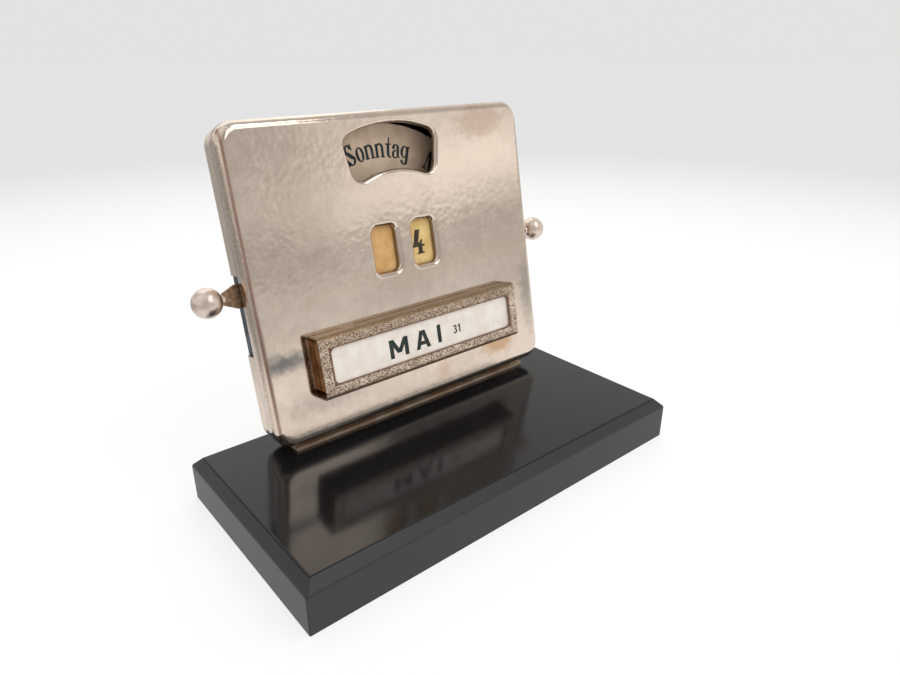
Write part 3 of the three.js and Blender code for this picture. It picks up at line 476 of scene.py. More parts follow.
def sheetMetal(piece, thickness, edge=0):
    wall = piece.modifiers.new("wall", "SOLIDIFY")
    wall.thickness = thickness * mm
    wall.offset = -1
    wall.use_even_offset = True
    if edge:
        soft = piece.modifiers.new("edge", "BEVEL")
        soft.width = edge * mm
        soft.segments = 2
        soft.limit_method = "ANGLE"
        soft.angle_limit = math.radians(50)
        soft.harden_normals = True
    evenShading(piece, 90)


# Slab
slab = {"width": 160, "depth": 80, "height": 16.8, "chamfer": 3.2, "edge": 0.5, "edgeSteps": 3,
        "wellX": 40, "wellY": 24, "wellRadius": 3.8, "wellDepth": 6.8, "wellSteps": 32, "caseX": 4.4}


def makeSlab():
    bm = bmesh.new()
    addBox(bm, (0, 0, slab["height"] / 2), (slab["width"], slab["depth"], slab["height"]))
    bevel(bm, edgesWhere(bm.edges, lambda co: co.z > slab["height"] / 2), slab["chamfer"], 1)
    bevel(bm, bm.edges[:], slab["edge"], slab["edgeSteps"])
    around = cutOut(bm, lowest(bm.faces, 2))
    wells = []
    for side in (-1, 1):
        middle = shift(slab["caseX"] + side * slab["wellX"], slab["wellY"], 0)
        ring = bmesh.ops.create_circle(bm, segments=slab["wellSteps"], radius=slab["wellRadius"],
                                       matrix=middle)["verts"]
        wells.append(list({edge for vert in ring for edge in vert.link_edges}))
    fill(bm, around + wells[0] + wells[1])
    for well in wells:
        raised = drawEdges(bm, well, (0, 0, slab["wellDepth"]))
        bmesh.ops.edgeloop_fill(bm, edges=edgesWhere(raised, lambda co: co.z > slab["wellDepth"] / 2))
    bmesh.ops.recalc_face_normals(bm, faces=bm.faces[:])
    evenShading(finished("slab", bm, "slab", "stand", ["base_block"], slabToFrame, 30))


makeSlab()
print("slab made")

# Case shells
shell = {"width": 125, "height": 106.8, "depth": 15.5, "sheet": 0.6, "face": 5.8,
         "corner": 7, "cornerSteps": 12, "roll": 3, "rollSteps": 8, "rearInset": 0.9, "rearFront": 3.8,
         "slotBottom": 32.1, "slotTop": 59.6, "slotFront": 6.0, "slotInner": 57.5}
arch = {"arbor": 53.4, "outer": 48.9, "inner": 33, "halfWidth": 19.25, "lean": math.radians(9.9), "corner": 4,
        "cornerSteps": 7, "steps": 28}
dates = {"width": 9.7, "height": 16.1, "corner": 2, "cornerSteps": 8, "offset": 8.6, "level": 59}
rim = {"archFlare": 1.35, "dateFlare": 2.1, "depth": 2.2, "steps": 9}


def archOutline(grow):
    normal = Vector((math.cos(arch["lean"]), -math.sin(arch["lean"])))
    along = Vector((math.sin(arch["lean"]), math.cos(arch["lean"])))
    middle = (arch["outer"] + arch["inner"]) / 2
    inset = arch["halfWidth"] * normal.x + middle * normal.y - arch["corner"]
    centres = [normal * inset + along * math.sqrt(radius ** 2 - inset ** 2)
               for radius in (arch["inner"] + arch["corner"], arch["outer"] - arch["corner"])]
    low, high = [math.atan2(centre.y, centre.x) for centre in centres]
    corner = arch["corner"] + grow
    right = arc(centres[0], corner, low - math.pi, -arch["lean"], arch["cornerSteps"])
    right += arc(centres[1], corner, -arch["lean"], high, arch["cornerSteps"])
    left = [Vector((-point.x, point.y)) for point in reversed(right)]
    top = arc((0, 0), arch["outer"] + grow, high, math.pi - high, arch["steps"])[1:-1]
    bottom = arc((0, 0), arch["inner"] - grow, math.pi - low, low, arch["steps"])[1:-1]
    return [Vector((point.x, point.y + arch["arbor"])) for point in right + top + left + bottom]


def rollIn(bm, face, flare):   # the sheet turns in round an opening
    face.normal_update()
    if face.normal.y > 0:
        face.normal_flip()
    reach, sunk = 0, 0
    for step in range(1, rim["steps"] + 1):
        turn = math.pi / 2 * step / rim["steps"]
        bmesh.ops.inset_region(bm, faces=[face], thickness=flare * math.sin(turn) - reach,
                               depth=-(flare * (1 - math.cos(turn)) - sunk),
                               use_boundary=True, use_even_offset=True)
        reach, sunk = flare * math.sin(turn), flare * (1 - math.cos(turn))
    drawEdges(bm, cutOut(bm, face), (0, rim["depth"] - sunk, 0))


def shellBlank(inset, front, back, rolled):   # a box with round corners, one end rolled and one open
    bm = bmesh.new()
    addBox(bm, (0, (front + back) / 2, shell["height"] / 2),
           (shell["width"] - 2 * inset, back - front, shell["height"] - 2 * inset))
    along = [edge for edge in bm.edges if abs(edge.verts[0].co.y - edge.verts[1].co.y) > hair]
    bevel(bm, along, shell["corner"] - inset, shell["cornerSteps"])
    bevel(bm, edgesWhere(bm.edges, lambda co: abs(co.y - rolled) < hair), shell["roll"], shell["rollSteps"])
    openEnd = front + back - rolled
    cutOut(bm, min(bm.faces, key=lambda face: abs(face.calc_center_median().y - openEnd)))
    return bm


def makeFrontShell():
    bm = shellBlank(0, 0, shell["face"], 0)
    cutOut(bm, lowest(bm.faces, 1))
    rollIn(bm, flatFace(bm, archOutline(rim["archFlare"])), rim["archFlare"])
    flare = rim["dateFlare"]
    for side in (-1, 1):
        opening = roundedFace(bm, (side * dates["offset"], dates["level"]), dates["width"] + 2 * flare,
                              dates["height"] + 2 * flare, dates["corner"] + flare, 0, dates["cornerSteps"])
        rollIn(bm, opening, flare)
    fill(bm, edgesWhere(bm.edges, lambda co: abs(co.y) < hair))
    turnFrontwards(bm)
    made = finished("frontShell", bm, "nickel", "stand", ["front_shell"], angle=40)
    sheetMetal(made, shell["sheet"])


def makeRearShell():
    bm = shellBlank(shell["rearInset"], shell["rearFront"], shell["depth"], shell["depth"])
    planes = [((0, 0, shell["slotBottom"]), (0, 0, 1)), ((0, 0, shell["slotTop"]), (0, 0, 1)),
              ((0, shell["slotFront"], 0), (0, 1, 0)),
              ((shell["slotInner"], 0, 0), (1, 0, 0)), ((-shell["slotInner"], 0, 0), (1, 0, 0))]
    for point, normal in planes:
        geom = bm.verts[:] + bm.edges[:] + bm.faces[:]
        bmesh.ops.bisect_plane(bm, geom=geom, dist=hair, plane_co=point, plane_no=normal)

    def inSlot(face):
        middle = face.calc_center_median()
        return (abs(middle.x) > shell["slotInner"] and middle.y > shell["slotFront"]
                and shell["slotBottom"] < middle.z < shell["slotTop"])

    bmesh.ops.delete(bm, geom=[face for face in bm.faces if inSlot(face)], context="FACES")
    bmesh.ops.recalc_face_normals(bm, faces=bm.faces[:])
    if max(bm.faces, key=lambda face: face.calc_center_median().y).normal.y < 0:
        bmesh.ops.reverse_faces(bm, faces=bm.faces[:])
    made = finished("rearShell", bm, "sideNickel", "stand", ["rear_shell"], angle=40)
    sheetMetal(made, shell["sheet"])


makeFrontShell()
makeRearShell()
print("case shells made")

# Card holder and the month card
holder = {"halfWidth": 45, "bottom": 14.1, "top": 36.1, "depth": 6.4, "back": -0.3,
          "round": 2, "roundSteps": 8, "sheet": 0.6, "edge": 0.12,
          "windowWidth": 81.6, "windowBottom": 19, "windowTop": 31.6, "windowCorner": 2, "windowSteps": 6,
          "tabX": 30, "tabWidth": 6, "tabDepth": 1.2, "tabEdge": 0.08}
monthCard = {"halfWidth": 43.5, "bottom": 15.7, "top": 34.5, "front": -5.5, "thick": 0.7, "edge": 0.08,
             "corner": 1, "cornerSteps": 4}


def makeHolder():
    bm = bmesh.new()
    front, bend, steps = -holder["depth"], holder["round"] - holder["depth"], holder["roundSteps"]
    low, high = holder["bottom"] + holder["round"], holder["top"] - holder["round"]
    section = [Vector((holder["back"], holder["bottom"]))]
    section += arc((bend, low), holder["round"], -math.pi / 2, -math.pi, steps)
    section += arc((bend, high), holder["round"], math.pi, math.pi / 2, steps)
    section.append(Vector((holder["back"], holder["top"])))
    verts = [bm.verts.new((-holder["halfWidth"], y, z)) for y, z in section]
    edges = [bm.edges.new(pair) for pair in zip(verts, verts[1:])]
    drawEdges(bm, edges, (2 * holder["halfWidth"], 0, 0))
    around = cutOut(bm, lowest(bm.faces, 1))
    height = holder["windowTop"] - holder["windowBottom"]
    pane = roundedFace(bm, (0, holder["windowBottom"] + height / 2), holder["windowWidth"], height,
                       holder["windowCorner"], front, holder["windowSteps"])
    fill(bm, around + cutOut(bm, pane))
    turnFrontwards(bm)
    made = finished("cardHolder", bm, "holder", "stand", ["card_holder"], angle=40)
    sheetMetal(made, holder["sheet"], holder["edge"])


def makeTabs():   # folded tabs that hold the sleeve to the face
    bm = bmesh.new()
    for side in (-1, 1):
        for level in (holder["bottom"] + holder["sheet"] / 2, holder["top"] - holder["sheet"] / 2):
            size = (holder["tabWidth"], holder["tabDepth"], holder["sheet"])
            addBox(bm, (side * holder["tabX"], 0, level), size)
    bevel(bm, bm.edges[:], holder["tabEdge"], 1)
    finished("holderTabs", bm, "holder", "stand")


def makeMonthCard():
    bm = bmesh.new()
    width, height = 2 * monthCard["halfWidth"], monthCard["top"] - monthCard["bottom"]
    face = roundedFace(bm, (0, monthCard["bottom"] + height / 2), width, height, monthCard["corner"],
                       monthCard["front"], monthCard["cornerSteps"])
    if face.normal.y > 0:
        face.normal_flip()
    made = finished("monthCard", bm, "card", "month_card_body", ["month_card"])
    sheetMetal(made, monthCard["thick"], monthCard["edge"])


makeHolder()
makeTabs()
makeMonthCard()
print("card holder made")

# Printed signs: each is its width and a few flat strokes, in millimetres on its baseline.
# bowl: part of a ring, thick at its sides: middle x and z, radii, side and top thickness, start, end
# stem: upright bar: middle x, foot, top, width, reach of the foot serif, reach of the head serif
# slant: sloping bar with level ends: lower x and z, upper x and z, width
# rib: level or sloping bar with upright ends: left x and z, right x and z, thickness
# dot: middle x and z, radius; flag: wedge to the left of a stem's top: x, top, width
oldStyle = {
    "S": (4.4, [("bowl", 2.1, 5.4, 1.7, 1.85, 1.0, 0.4, 35, 205), ("slant", 3.2, 2.1, 1.1, 4.9, 1.65),
                ("bowl", 2.15, 1.8, 1.8, 1.9, 1.05, 0.42, -150, 25), ("slant", 3.45, 5.0, 3.5, 7.2, 0.4),
                ("slant", 0.6, 0, 0.65, 2.3, 0.45), ("dot", 3.05, 6.0, 0.5), ("dot", 1.0, 1.1, 0.55)]),
    "D": (5.7, [("stem", 1.5, 0, 7.2, 1.3, 0.5, 0.5), ("bowl", 1.7, 3.6, 3.5, 3.6, 1.35, 0.38, -90, 90)]),
    "F": (4.9, [("stem", 1.5, 0, 7.2, 1.3, 0.55, 0.5), ("rib", 1.5, 7.0, 4.5, 7.0, 0.4),
                ("rib", 1.5, 3.7, 3.4, 3.7, 0.35), ("slant", 4.4, 5.3, 4.4, 7.2, 0.35),
                ("slant", 3.4, 2.8, 3.4, 4.6, 0.3)]),
    "M": (8.4, [("stem", 1.3, 0, 7.2, 0.4, 0.75, 0.4), ("slant", 4.0, 0, 1.75, 7.2, 1.3),
                ("slant", 4.1, 0, 6.3, 7.2, 0.4), ("stem", 6.7, 0, 7.2, 1.25, 0.5, 0.5)]),
    "a": (3.9, [("stem", 2.95, 0.3, 3.6, 1.0, 0, 0), ("bowl", 1.95, 3.6, 1.5, 1.45, 1.0, 0.35, 0, 165),
                ("dot", 0.95, 3.7, 0.62), ("bowl", 1.75, 1.4, 1.4, 1.5, 1.0, 0.35, 60, 310),
                ("dot", 3.55, 0.4, 0.3)]),
    "c": (3.4, [("bowl", 1.8, 2.5, 1.6, 2.6, 1.0, 0.32, 45, 320), ("dot", 2.75, 3.9, 0.6)]),
    "d": (4.2, [("bowl", 1.9, 2.5, 1.65, 2.6, 1.0, 0.32, 0, 360), ("stem", 3.05, 0, 7.2, 1.0, 0.3, 0),
                ("flag", 3.05, 7.2, 1.0)]),
    "e": (3.5, [("bowl", 1.8, 2.5, 1.6, 2.6, 1.0, 0.32, 5, 325), ("rib", 0.8, 2.65, 3.3, 2.65, 0.34)]),
    "g": (4.5, [("bowl", 2.0, 2.9, 1.75, 2.2, 1.05, 0.34, 0, 360), ("stem", 3.25, -0.6, 5.0, 1.05, 0, 0),
                ("bowl", 2.25, -0.5, 1.52, 1.3, 1.0, 0.4, 200, 360), ("dot", 1.2, -0.75, 0.6),
                ("rib", 3.3, 4.75, 4.3, 4.95, 0.4)]),
    "h": (4.5, [("stem", 1.05, 0, 7.2, 1.0, 0.35, 0), ("flag", 1.05, 7.2, 1.0),
                ("bowl", 2.3, 3.55, 1.65, 1.55, 1.0, 0.5, 0, 140), ("stem", 3.45, 0, 3.6, 1.0, 0.35, 0)]),
    "i": (2.3, [("stem", 1.15, 0, 4.9, 1.0, 0.38, 0), ("flag", 1.15, 4.9, 1.0), ("dot", 1.1, 6.5, 0.62)]),
    "m": (6.9, [("stem", 1.05, 0, 4.9, 1.0, 0.35, 0), ("flag", 1.05, 4.9, 1.0),
                ("bowl", 2.3, 3.55, 1.65, 1.55, 1.0, 0.5, 0, 140), ("stem", 3.45, 0, 3.6, 1.0, 0.35, 0),
                ("bowl", 4.7, 3.55, 1.65, 1.55, 1.0, 0.5, 0, 140), ("stem", 5.85, 0, 3.6, 1.0, 0.35, 0)]),
    "n": (4.5, [("stem", 1.05, 0, 4.9, 1.0, 0.35, 0), ("flag", 1.05, 4.9, 1.0),
                ("bowl", 2.3, 3.55, 1.65, 1.55, 1.0, 0.5, 0, 140), ("stem", 3.45, 0, 3.6, 1.0, 0.35, 0)]),
    "o": (3.65, [("bowl", 1.82, 2.5, 1.75, 2.62, 1.05, 0.32, 0, 360)]),
    "r": (3.2, [("stem", 1.05, 0, 4.9, 1.0, 0.4, 0), ("flag", 1.05, 4.9, 1.0),
                ("bowl", 2.3, 3.7, 1.0, 1.35, 0.6, 0.4, 50, 170), ("dot", 2.65, 4.25, 0.62)]),
    "s": (3.1, [("bowl", 1.5, 3.8, 1.25, 1.3, 0.8, 0.32, 35, 205), ("slant", 2.2, 1.5, 0.85, 3.4, 1.25),
                ("bowl", 1.5, 1.25, 1.3, 1.35, 0.8, 0.32, -150, 25), ("dot", 2.35, 4.1, 0.4),
                ("dot", 0.7, 0.9, 0.42)]),
    "t": (2.9, [("slant", 1.5, 1.1, 1.5, 5.0, 1.0), ("slant", 1.75, 4.9, 1.95, 7.2, 0.5),
                ("rib", 0.3, 4.75, 2.7, 4.75, 0.42), ("bowl", 2.25, 1.15, 1.25, 1.2, 1.0, 0.36, 180, 310)]),
    "w": (5.9, [("slant", 2.0, 0, 0.95, 4.9, 1.05), ("slant", 2.1, 0, 3.2, 4.9, 0.34),
                ("slant", 4.2, 0, 3.15, 4.9, 1.05), ("slant", 4.3, 0, 5.3, 4.9, 0.34),
                ("rib", 0.2, 4.8, 1.8, 4.8, 0.26), ("rib", 4.8, 4.8, 5.8, 4.8, 0.26)]),
    "0": (5.4, [("bowl", 2.7, 4.55, 2.7, 4.65, 1.9, 0.5, 0, 360)]),
    "1": (5.4, [("stem", 2.7, 0, 9.05, 1.9, 0.9, 0), ("flag", 2.7, 9.05, 1.9)]),
    "2": (5.4, [("bowl", 2.7, 6.3, 2.5, 2.85, 1.8, 0.5, -25, 170), ("slant", 0.9, 1.1, 3.9, 5.4, 1.5),
                ("dot", 1.15, 6.7, 0.95), ("rib", 0.2, 0.75, 5.1, 0.55, 1.3),
                ("slant", 4.9, 0, 5.1, 2.4, 0.5)]),
    "3": (5.4, [("bowl", 2.5, 6.8, 2.2, 2.35, 1.6, 0.5, -90, 150),
                ("bowl", 2.5, 2.4, 2.7, 2.5, 1.85, 0.5, -150, 90), ("dot", 1.1, 7.1, 0.85),
                ("dot", 1.05, 1.9, 0.95)]),
    "4": (5.4, [("slant", 1.1, 3.0, 2.8, 9.05, 2.1), ("rib", 0, 3.05, 5.4, 3.05, 0.65),
                ("stem", 3.3, 0, 4.3, 1.8, 0.75, 0), ("slant", 3.75, 4.2, 4.1, 5.2, 0.9)]),
    "5": (5.4, [("rib", 1.0, 8.2, 4.8, 8.2, 1.5), ("slant", 1.15, 4.2, 1.25, 8.6, 0.5),
                ("bowl", 2.5, 2.95, 2.75, 3.0, 1.9, 0.5, -150, 125), ("dot", 1.1, 1.9, 0.95)]),
    "6": (5.4, [("bowl", 2.75, 2.9, 2.65, 2.95, 1.85, 0.5, 0, 360),
                ("bowl", 3.9, 4.2, 3.8, 4.85, 1.9, 0.5, 85, 190), ("dot", 4.3, 7.7, 0.85)]),
    "7": (5.4, [("rib", 0.3, 8.2, 5.1, 8.3, 1.5), ("slant", 2.3, 0, 4.3, 7.8, 1.8),
                ("slant", 0.5, 6.5, 0.5, 8.9, 0.5)]),
    "8": (5.4, [("bowl", 2.7, 6.8, 2.25, 2.35, 1.5, 0.5, 0, 360),
                ("bowl", 2.7, 2.45, 2.7, 2.55, 1.75, 0.5, 0, 360)]),
}
plainStyle = {
    "M": (8.1, [("stem", 0.8, 0, 6.9, 1.6, 0, 0), ("slant", 4.05, 1.6, 0.95, 6.9, 1.75),
                ("slant", 4.05, 1.6, 7.15, 6.9, 1.75), ("stem", 7.3, 0, 6.9, 1.6, 0, 0)]),
    "A": (6.7, [("slant", 0.85, 0, 3.0, 6.9, 1.6), ("slant", 5.85, 0, 3.7, 6.9, 1.6),
                ("rib", 1.5, 2.1, 5.2, 2.1, 1.3)]),
    "I": (1.6, [("stem", 0.8, 0, 6.9, 1.6, 0, 0)]),
    "3": (1.9, [("bowl", 0.85, 2.35, 0.85, 0.8, 0.44, 0.4, -90, 160),
                ("bowl", 0.85, 0.82, 0.95, 0.86, 0.44, 0.4, -160, 90)]),
    "1": (1.2, [("stem", 0.75, 0, 3.15, 0.46, 0, 0), ("slant", 0.2, 2.3, 0.65, 3.15, 0.4)]),
}
# a stroke prints its spread wider than it is drawn; a bowl has a point every bowlStep degrees
stroke = {"spread": 0.12, "bowlStep": 12, "dotSteps": 16, "serif": 0.28, "serifShare": 0.032, "bracket": 0.3,
          "flagReach": 0.5, "flagTip": 0.75, "flagFoot": 0.85, "flagBack": 0.6, "flagRise": 0.05}
weekdayNames = {"Sonntag": 40.6, "Montag": 44.5, "Dienstag": 42, "Mittwoch": 45,   # degrees that each takes
                "Donnerstag": 46, "Freitag": 40, "Samstag": 42}
weekdayPrint = {"depth": 10.57, "arbor": 53.4, "baseline": 37.5, "middle": 40, "first": 89.1}
datePrint = {"depth": 2.57, "level": 59, "disc": 30.8, "reach": 23.56, "height": 9.05,
             "unitsFields": 10, "unitsNow": 4, "tensFields": 8, "tensStarts": (0, 4)}
monthPrint = {"depth": -5.53, "inkDepth": 0.02, "step": 0.005,
              "name": [("M", -17.4, 21.0), ("A", -5.9, 21.2), ("I", 4.45, 21.35)],
              "length": [("3", 12.1, 23.0), ("1", 14.5, 23.0)]}


def drawBowl(bm, depth, x, z, wide, high, side, top, start, end):
    spread = stroke["spread"]
    wide, high, side, top = wide + spread / 2, high + spread / 2, side + spread, top + spread
    whole = end - start == 360
    steps = max(4, round((end - start) / stroke["bowlStep"]))
    points = range(steps if whole else steps + 1)
    angles = [math.radians(start + (end - start) * point / steps) for point in points]
    verts = [bm.verts.new((x + wide * math.cos(a), depth, z + high * math.sin(a))) for a in angles]
    pairs = list(zip(verts, verts[1:])) + ([(verts[-1], verts[0])] if whole else [])
    made = bmesh.ops.extrude_edge_only(bm, edges=[bm.edges.new(pair) for pair in pairs])["geom"]
    bmesh.ops.scale(bm, vec=((wide - side) / wide, 1, (high - top) / high), space=shift(-x, 0, -z),
                    verts=[part for part in made if isinstance(part, bmesh.types.BMVert)])


def drawStem(bm, depth, x, low, high, wide, foot, head):
    side = x + (wide + stroke["spread"]) / 2
    serif, bracket = stroke["serifShare"] * wide + stroke["serif"], stroke["bracket"]
    if foot:
        right = [(side + foot, low), (side + foot, low + serif), (side, low + serif + bracket)]
    else:
        right = [(side, low)]
    if head:
        right += [(side, high - serif - bracket), (side + head, high - serif), (side + head, high)]
    else:
        right += [(side, high)]
    flatFace(bm, right + [(2 * x - across, up) for across, up in reversed(right)], depth)


def drawSlant(bm, depth, lowX, lowZ, highX, highZ, wide):
    half = (wide + stroke["spread"]) / 2
    foot, head = [(lowX - half, lowZ), (lowX + half, lowZ)], [(highX + half, highZ), (highX - half, highZ)]
    flatFace(bm, foot + head, depth)


def drawRib(bm, depth, leftX, leftZ, rightX, rightZ, thick):
    half = (thick + stroke["spread"]) / 2
    under = [(leftX, leftZ - half), (rightX, rightZ - half)]
    over = [(rightX, rightZ + half), (leftX, leftZ + half)]
    flatFace(bm, under + over, depth)


def drawDot(bm, depth, x, z, radius):
    flatFace(bm, arc((x, z), radius, 0, 2 * math.pi, stroke["dotSteps"])[:-1], depth)


def drawFlag(bm, depth, x, top, wide):
    left, right = x - wide / 2, x + wide / 2
    flatFace(bm, [(left - stroke["flagReach"], top - stroke["flagTip"]), (left, top - stroke["flagFoot"]),
                  (right, top - stroke["flagBack"]), (right, top + stroke["flagRise"]), (x, top)], depth)


strokes = {"bowl": drawBowl, "stem": drawStem, "slant": drawSlant,
           "rib": drawRib, "dot": drawDot, "flag": drawFlag}


def drawSign(bm, style, sign, place):   # the place takes the sign's own millimetres to the case's
    start = len(bm.verts)
    for layer, (kind, *numbers) in enumerate(style[sign][1]):
        strokes[kind](bm, -monthPrint["step"] * layer, *numbers)
    bm.verts.ensure_lookup_table()
    bmesh.ops.transform(bm, matrix=place, verts=bm.verts[start:])


def printed(name, bm, ink, body):
    for face in bm.faces:
        face.normal_update()
        if face.normal.y > 0:
            face.normal_flip()
    made = finished(name, bm, ink, body)
    sheetMetal(made, monthPrint["inkDepth"])


def about(degrees):   # a turn seen from the front, anticlockwise
    return Matrix.Rotation(-math.radians(degrees), 4, "Y")


def printWeekdays():
    bm = bmesh.new()
    centre, radius = shift(0, weekdayPrint["depth"], weekdayPrint["arbor"]), weekdayPrint["middle"]
    for place, (name, span) in enumerate(weekdayNames.items()):
        natural = sum(oldStyle[letter][0] for letter in name)
        spread = math.radians(span) * radius / natural
        squeeze = Matrix.Diagonal((min(1, spread), 1, 1, 1))
        angle = weekdayPrint["first"] - place * 360 / len(weekdayNames) + span / 2
        for letter in name:
            wide = oldStyle[letter][0]
            half = math.degrees(wide * spread / 2 / radius)
            onRing = centre @ about(angle - half - 90) @ shift(0, 0, weekdayPrint["baseline"])
            drawSign(bm, oldStyle, letter, onRing @ squeeze @ shift(-wide / 2, 0, 0))
            angle -= 2 * half
    printed("weekdayNames", bm, "blueInk", "weekday_wheel")


def printDates(name, signs, side, body):   # a nine is a six that stands on its head
    bm = bmesh.new()
    middle = shift(side * datePrint["disc"], datePrint["depth"], datePrint["level"])
    for turn, sign in signs:
        drawn, upright = ("6", about(180)) if sign == "9" else (sign, Matrix.Identity(4))
        onDisc = middle @ about(turn) @ shift(-side * datePrint["reach"], 0, 0) @ upright
        wide, high = oldStyle[drawn][0], datePrint["height"]
        drawSign(bm, oldStyle, drawn, onDisc @ shift(-wide / 2, 0, -high / 2))
    printed(name, bm, "brownInk", body)


def printMonth():
    bm = bmesh.new()
    for sign, x, z in monthPrint["name"] + monthPrint["length"]:
        drawSign(bm, plainStyle, sign, shift(x, monthPrint["depth"], z))
    printed("monthName", bm, "greenInk", "month_card_body")


unitsStep, tensStep = 360 / datePrint["unitsFields"], 360 / datePrint["tensFields"]
unitsSigns = [(unitsStep * (count - datePrint["unitsNow"]), str(count))
              for count in range(datePrint["unitsFields"])]
tensSigns = [(tensStep * (start + count), str(count))   # a blank field, 1, 2 and 3, twice over
             for start in datePrint["tensStarts"] for count in (1, 2, 3)]
printWeekdays()
printDates("unitsNumbers", unitsSigns, 1, "units_wheel")
printDates("tensNumbers", tensSigns, -1, "tens_wheel")
printMonth()
print("names and numbers printed")

# Knobs
knob = {"x": 72.9, "y": 7.8, "z": 53.4, "radius": 4.9, "arcSteps": 22, "turnSteps": 48,
        "collar": 1.7, "collarReach": 5.4, "collarTaper": 0.15, "fillet": 0.08}   # the fillet is in radians


def makeKnob(side, name, body, node):
    bm = bmesh.new()
    meet = math.asin(knob["collar"] / knob["radius"])
    profile = arc((0, 0), knob["radius"], 0, math.pi - meet - knob["fillet"], knob["arcSteps"])
    profile += [Vector((-knob["radius"] * math.cos(meet), knob["collar"])),
                Vector((-knob["collarReach"], knob["collar"] - knob["collarTaper"])),
                Vector((-knob["collarReach"], 0))]
    verts = [bm.verts.new((side * x, 0, z)) for x, z in profile]
    edges = [bm.edges.new(pair) for pair in zip(verts, verts[1:])]
    bmesh.ops.spin(bm, geom=verts + edges, cent=(0, 0, 0), axis=(1, 0, 0), angle=2 * math.pi,
                   steps=knob["turnSteps"], use_merge=True)
    bmesh.ops.remove_doubles(bm, verts=bm.verts[:], dist=hair)
    bmesh.ops.recalc_face_normals(bm, faces=bm.faces[:])
    bmesh.ops.translate(bm, vec=(side * knob["x"], knob["y"], knob["z"]), verts=bm.verts[:])
    finished(name, bm, "ball", body, [node])


makeKnob(-1, "leftKnob", "left_arm", "left_knob")
makeKnob(1, "rightKnob", "right_arm", "right_knob")
print("knobs made")

# Stage, light and camera. The paper's brightness changes from near to far, between two distances from
# its middle in metres; behind and viewer are places in the case's millimetres.
stage = {"floor": 6, "floorColour": paint(246, 245, 244), "shadow": 0.22,
         "eyeReach": (0.25, 0.88), "eyeNear": 1, "eyeFar": 0.77,
         "mirrorReach": (0.3, 1.1), "mirrorNear": 0.84, "mirrorFar": 0.56, "mirrorShare": 0.85,
         "behind": (170, 320), "mirrorBehind": 0.32, "viewer": (40, 200), "mirrorViewer": 0.3}
room = {"diffuse": 1.0, "fromRight": 0.8, "mirrorTop": 0.4,
        # how bright the mirrored room is at each height of the ray
        "mirror": [(0.0, 0.62), (0.03, 0.6), (0.055, 0.44), (0.08, 0.7),
                   (0.105, 0.94), (0.16, 1.0), (0.2, 0.82), (0.4, 0.76)],
        # its darker parts: what each one takes away, and where it sets in and is full along each axis
        "dim": [(0.42, {"height": (0.03, 0.1), "right": (0.6, 0.36), "back": (-0.2, -0.6)}),
                (0.3, {"height": (0.3, 0.6), "back": (0.3, -0.1)}),
                (0.4, {"height": (0.3, 0.4), "right": (0.5, 0.3), "back": (0.5, 0.7)})]}
lamps = {
    "keyLamp": {"place": (-0.6, -0.3, 1.0), "size": 1.1, "power": 1},
    "fillLamp": {"place": (0.32, -1.2, 1.07), "size": 0.9, "power": 3.2},
    "windowLamp": {"place": (0.453, -0.644, 1.308), "size": 0.42, "power": 1.3},
    "backLamp": {"place": (0.2, 0.9, 0.9), "size": 1.1, "power": 2.4},
}
lampAim = Vector((0, 0.01, 0.06))
camera = {"place": (-0.1375, -0.1675, 0.1463), "turn": (66.54, 0, -39.83), "lens": 27.14,
          "sensor": 36, "near": 0.01}


def rays(graph):
    return [graph.node("LightPath", {}, {}, kind) for kind in ("Is Camera Ray", "Is Glossy Ray")]


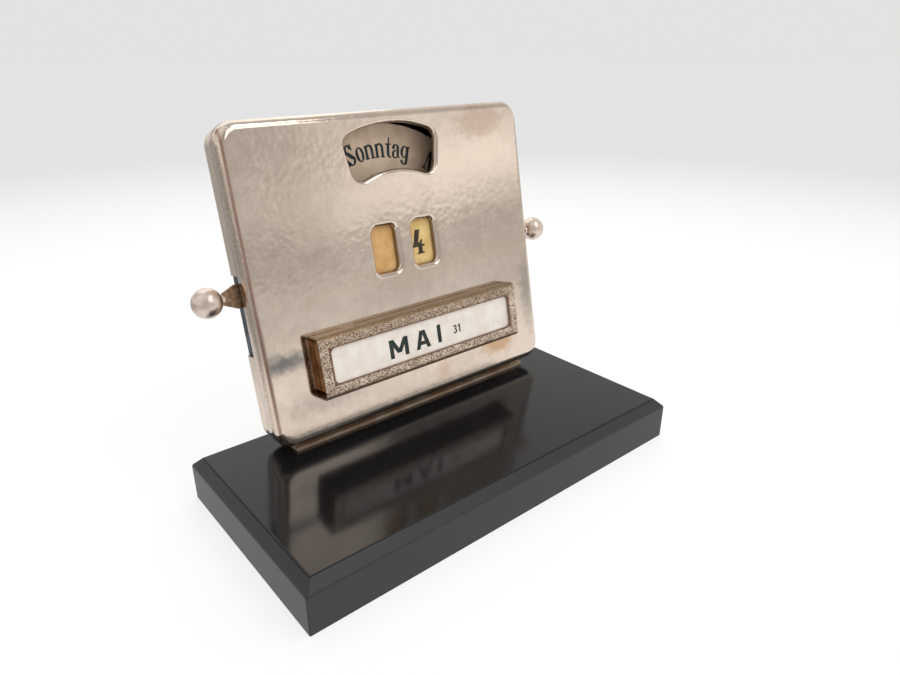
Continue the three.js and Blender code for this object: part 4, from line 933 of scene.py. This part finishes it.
def makeStage():   # paper whose far end goes over into the room, as on a table with a sweep
    bm = bmesh.new()
    bmesh.ops.create_grid(bm, x_segments=1, y_segments=1, size=stage["floor"])
    mesh = bpy.data.meshes.new("floor")
    bm.to_mesh(mesh)
    bm.free()
    plain = {"Base Color": stage["floorColour"], "Roughness": 0.8, "Specular IOR Level": 0.2}
    paper = Finish("floorPaper", plain)
    toEye, mirrored = rays(paper)
    away = paper.node("VectorMath", {"operation": "LENGTH"}, {0: paper.spot}, "Value") * mm
    far = paper.fade(away, *stage["eyeReach"])
    seen = toEye * paper.between(far, stage["eyeNear"], stage["eyeFar"])
    left = paper.x * -1
    # In mirrors the paper is dimmer at the left behind the calendar, and towards whoever looks at it.
    behind = paper.fade(left + paper.y, *stage["behind"])
    viewer = paper.fade(left, *stage["viewer"]) * paper.fade(paper.y * -1, *stage["viewer"])
    bounced = paper.between(paper.fade(away, *stage["mirrorReach"]), stage["mirrorNear"], stage["mirrorFar"])
    bounced = paper.between(behind, bounced, stage["mirrorBehind"])
    bounced = mirrored * paper.between(viewer, bounced, stage["mirrorViewer"])
    glow = paper.node("Emission", {}, {"Color": paint(255, 255, 255), "Strength": seen + bounced})
    share = toEye * (1 - (1 - far) * stage["shadow"]) + mirrored * stage["mirrorShare"]
    lit = Wire(paper, paper.shader.outputs[0])
    shown = paper.node("MixShader", {}, {0: share, 1: lit, 2: glow})
    paper.feed(paper.tree.nodes["Material Output"].inputs["Surface"], shown)
    mesh.materials.append(paper.material)
    floor = bpy.data.objects.new("floor", mesh)
    bpy.context.scene.collection.objects.link(floor)


def makeWorld():
    world = bpy.data.worlds.new("studio")
    world.use_nodes = True
    bpy.context.scene.world = world
    sky = Graph(world.node_tree)
    toEye, mirrored = rays(sky)
    way = dict(zip(("right", "back", "height"), sky.split(sky.node("TexCoord", {}, {}, "Generated"))))
    top = room["mirrorTop"]
    stops = [(height / top, (level, level, level, 1)) for height, level in room["mirror"]]
    gloss = sky.node("ValToRGB", {"stops": stops}, {0: way["height"] / top})
    for loss, where in room["dim"]:
        for axis, limits in where.items():
            loss = loss * sky.fade(way[axis], *limits)
        gloss = gloss * (1 - loss)
    soft = room["diffuse"] + way["right"] * room["fromRight"]   # the window is on the right
    strength = toEye * stage["eyeFar"] + mirrored * gloss + (1 - toEye) * (1 - mirrored) * soft
    background = world.node_tree.nodes["Background"]
    sky.feed(background.inputs["Strength"], strength)
    background.inputs["Color"].default_value = paint(255, 254, 252)


def makeLamps():
    for name, lamp in lamps.items():
        data = bpy.data.lights.new(name, "AREA")
        data.size = lamp["size"]
        data.energy = lamp["power"]
        made = bpy.data.objects.new(name, data)
        made.location = lamp["place"]
        made.rotation_euler = (lampAim - made.location).to_track_quat("-Z", "Y").to_euler()
        bpy.context.scene.collection.objects.link(made)


def makeCamera():
    data = bpy.data.cameras.new("photoView")
    data.lens = camera["lens"]
    data.sensor_width = camera["sensor"]
    data.clip_start = camera["near"]
    made = bpy.data.objects.new("photoView", data)
    made.location = camera["place"]
    made.rotation_euler = [math.radians(angle) for angle in camera["turn"]]
    bpy.context.scene.collection.objects.link(made)
    bpy.context.scene.camera = made


makeStage()
makeWorld()
makeLamps()
makeCamera()
bpy.context.scene.view_settings.view_transform = "Standard"
print("stage, lamps and camera set")
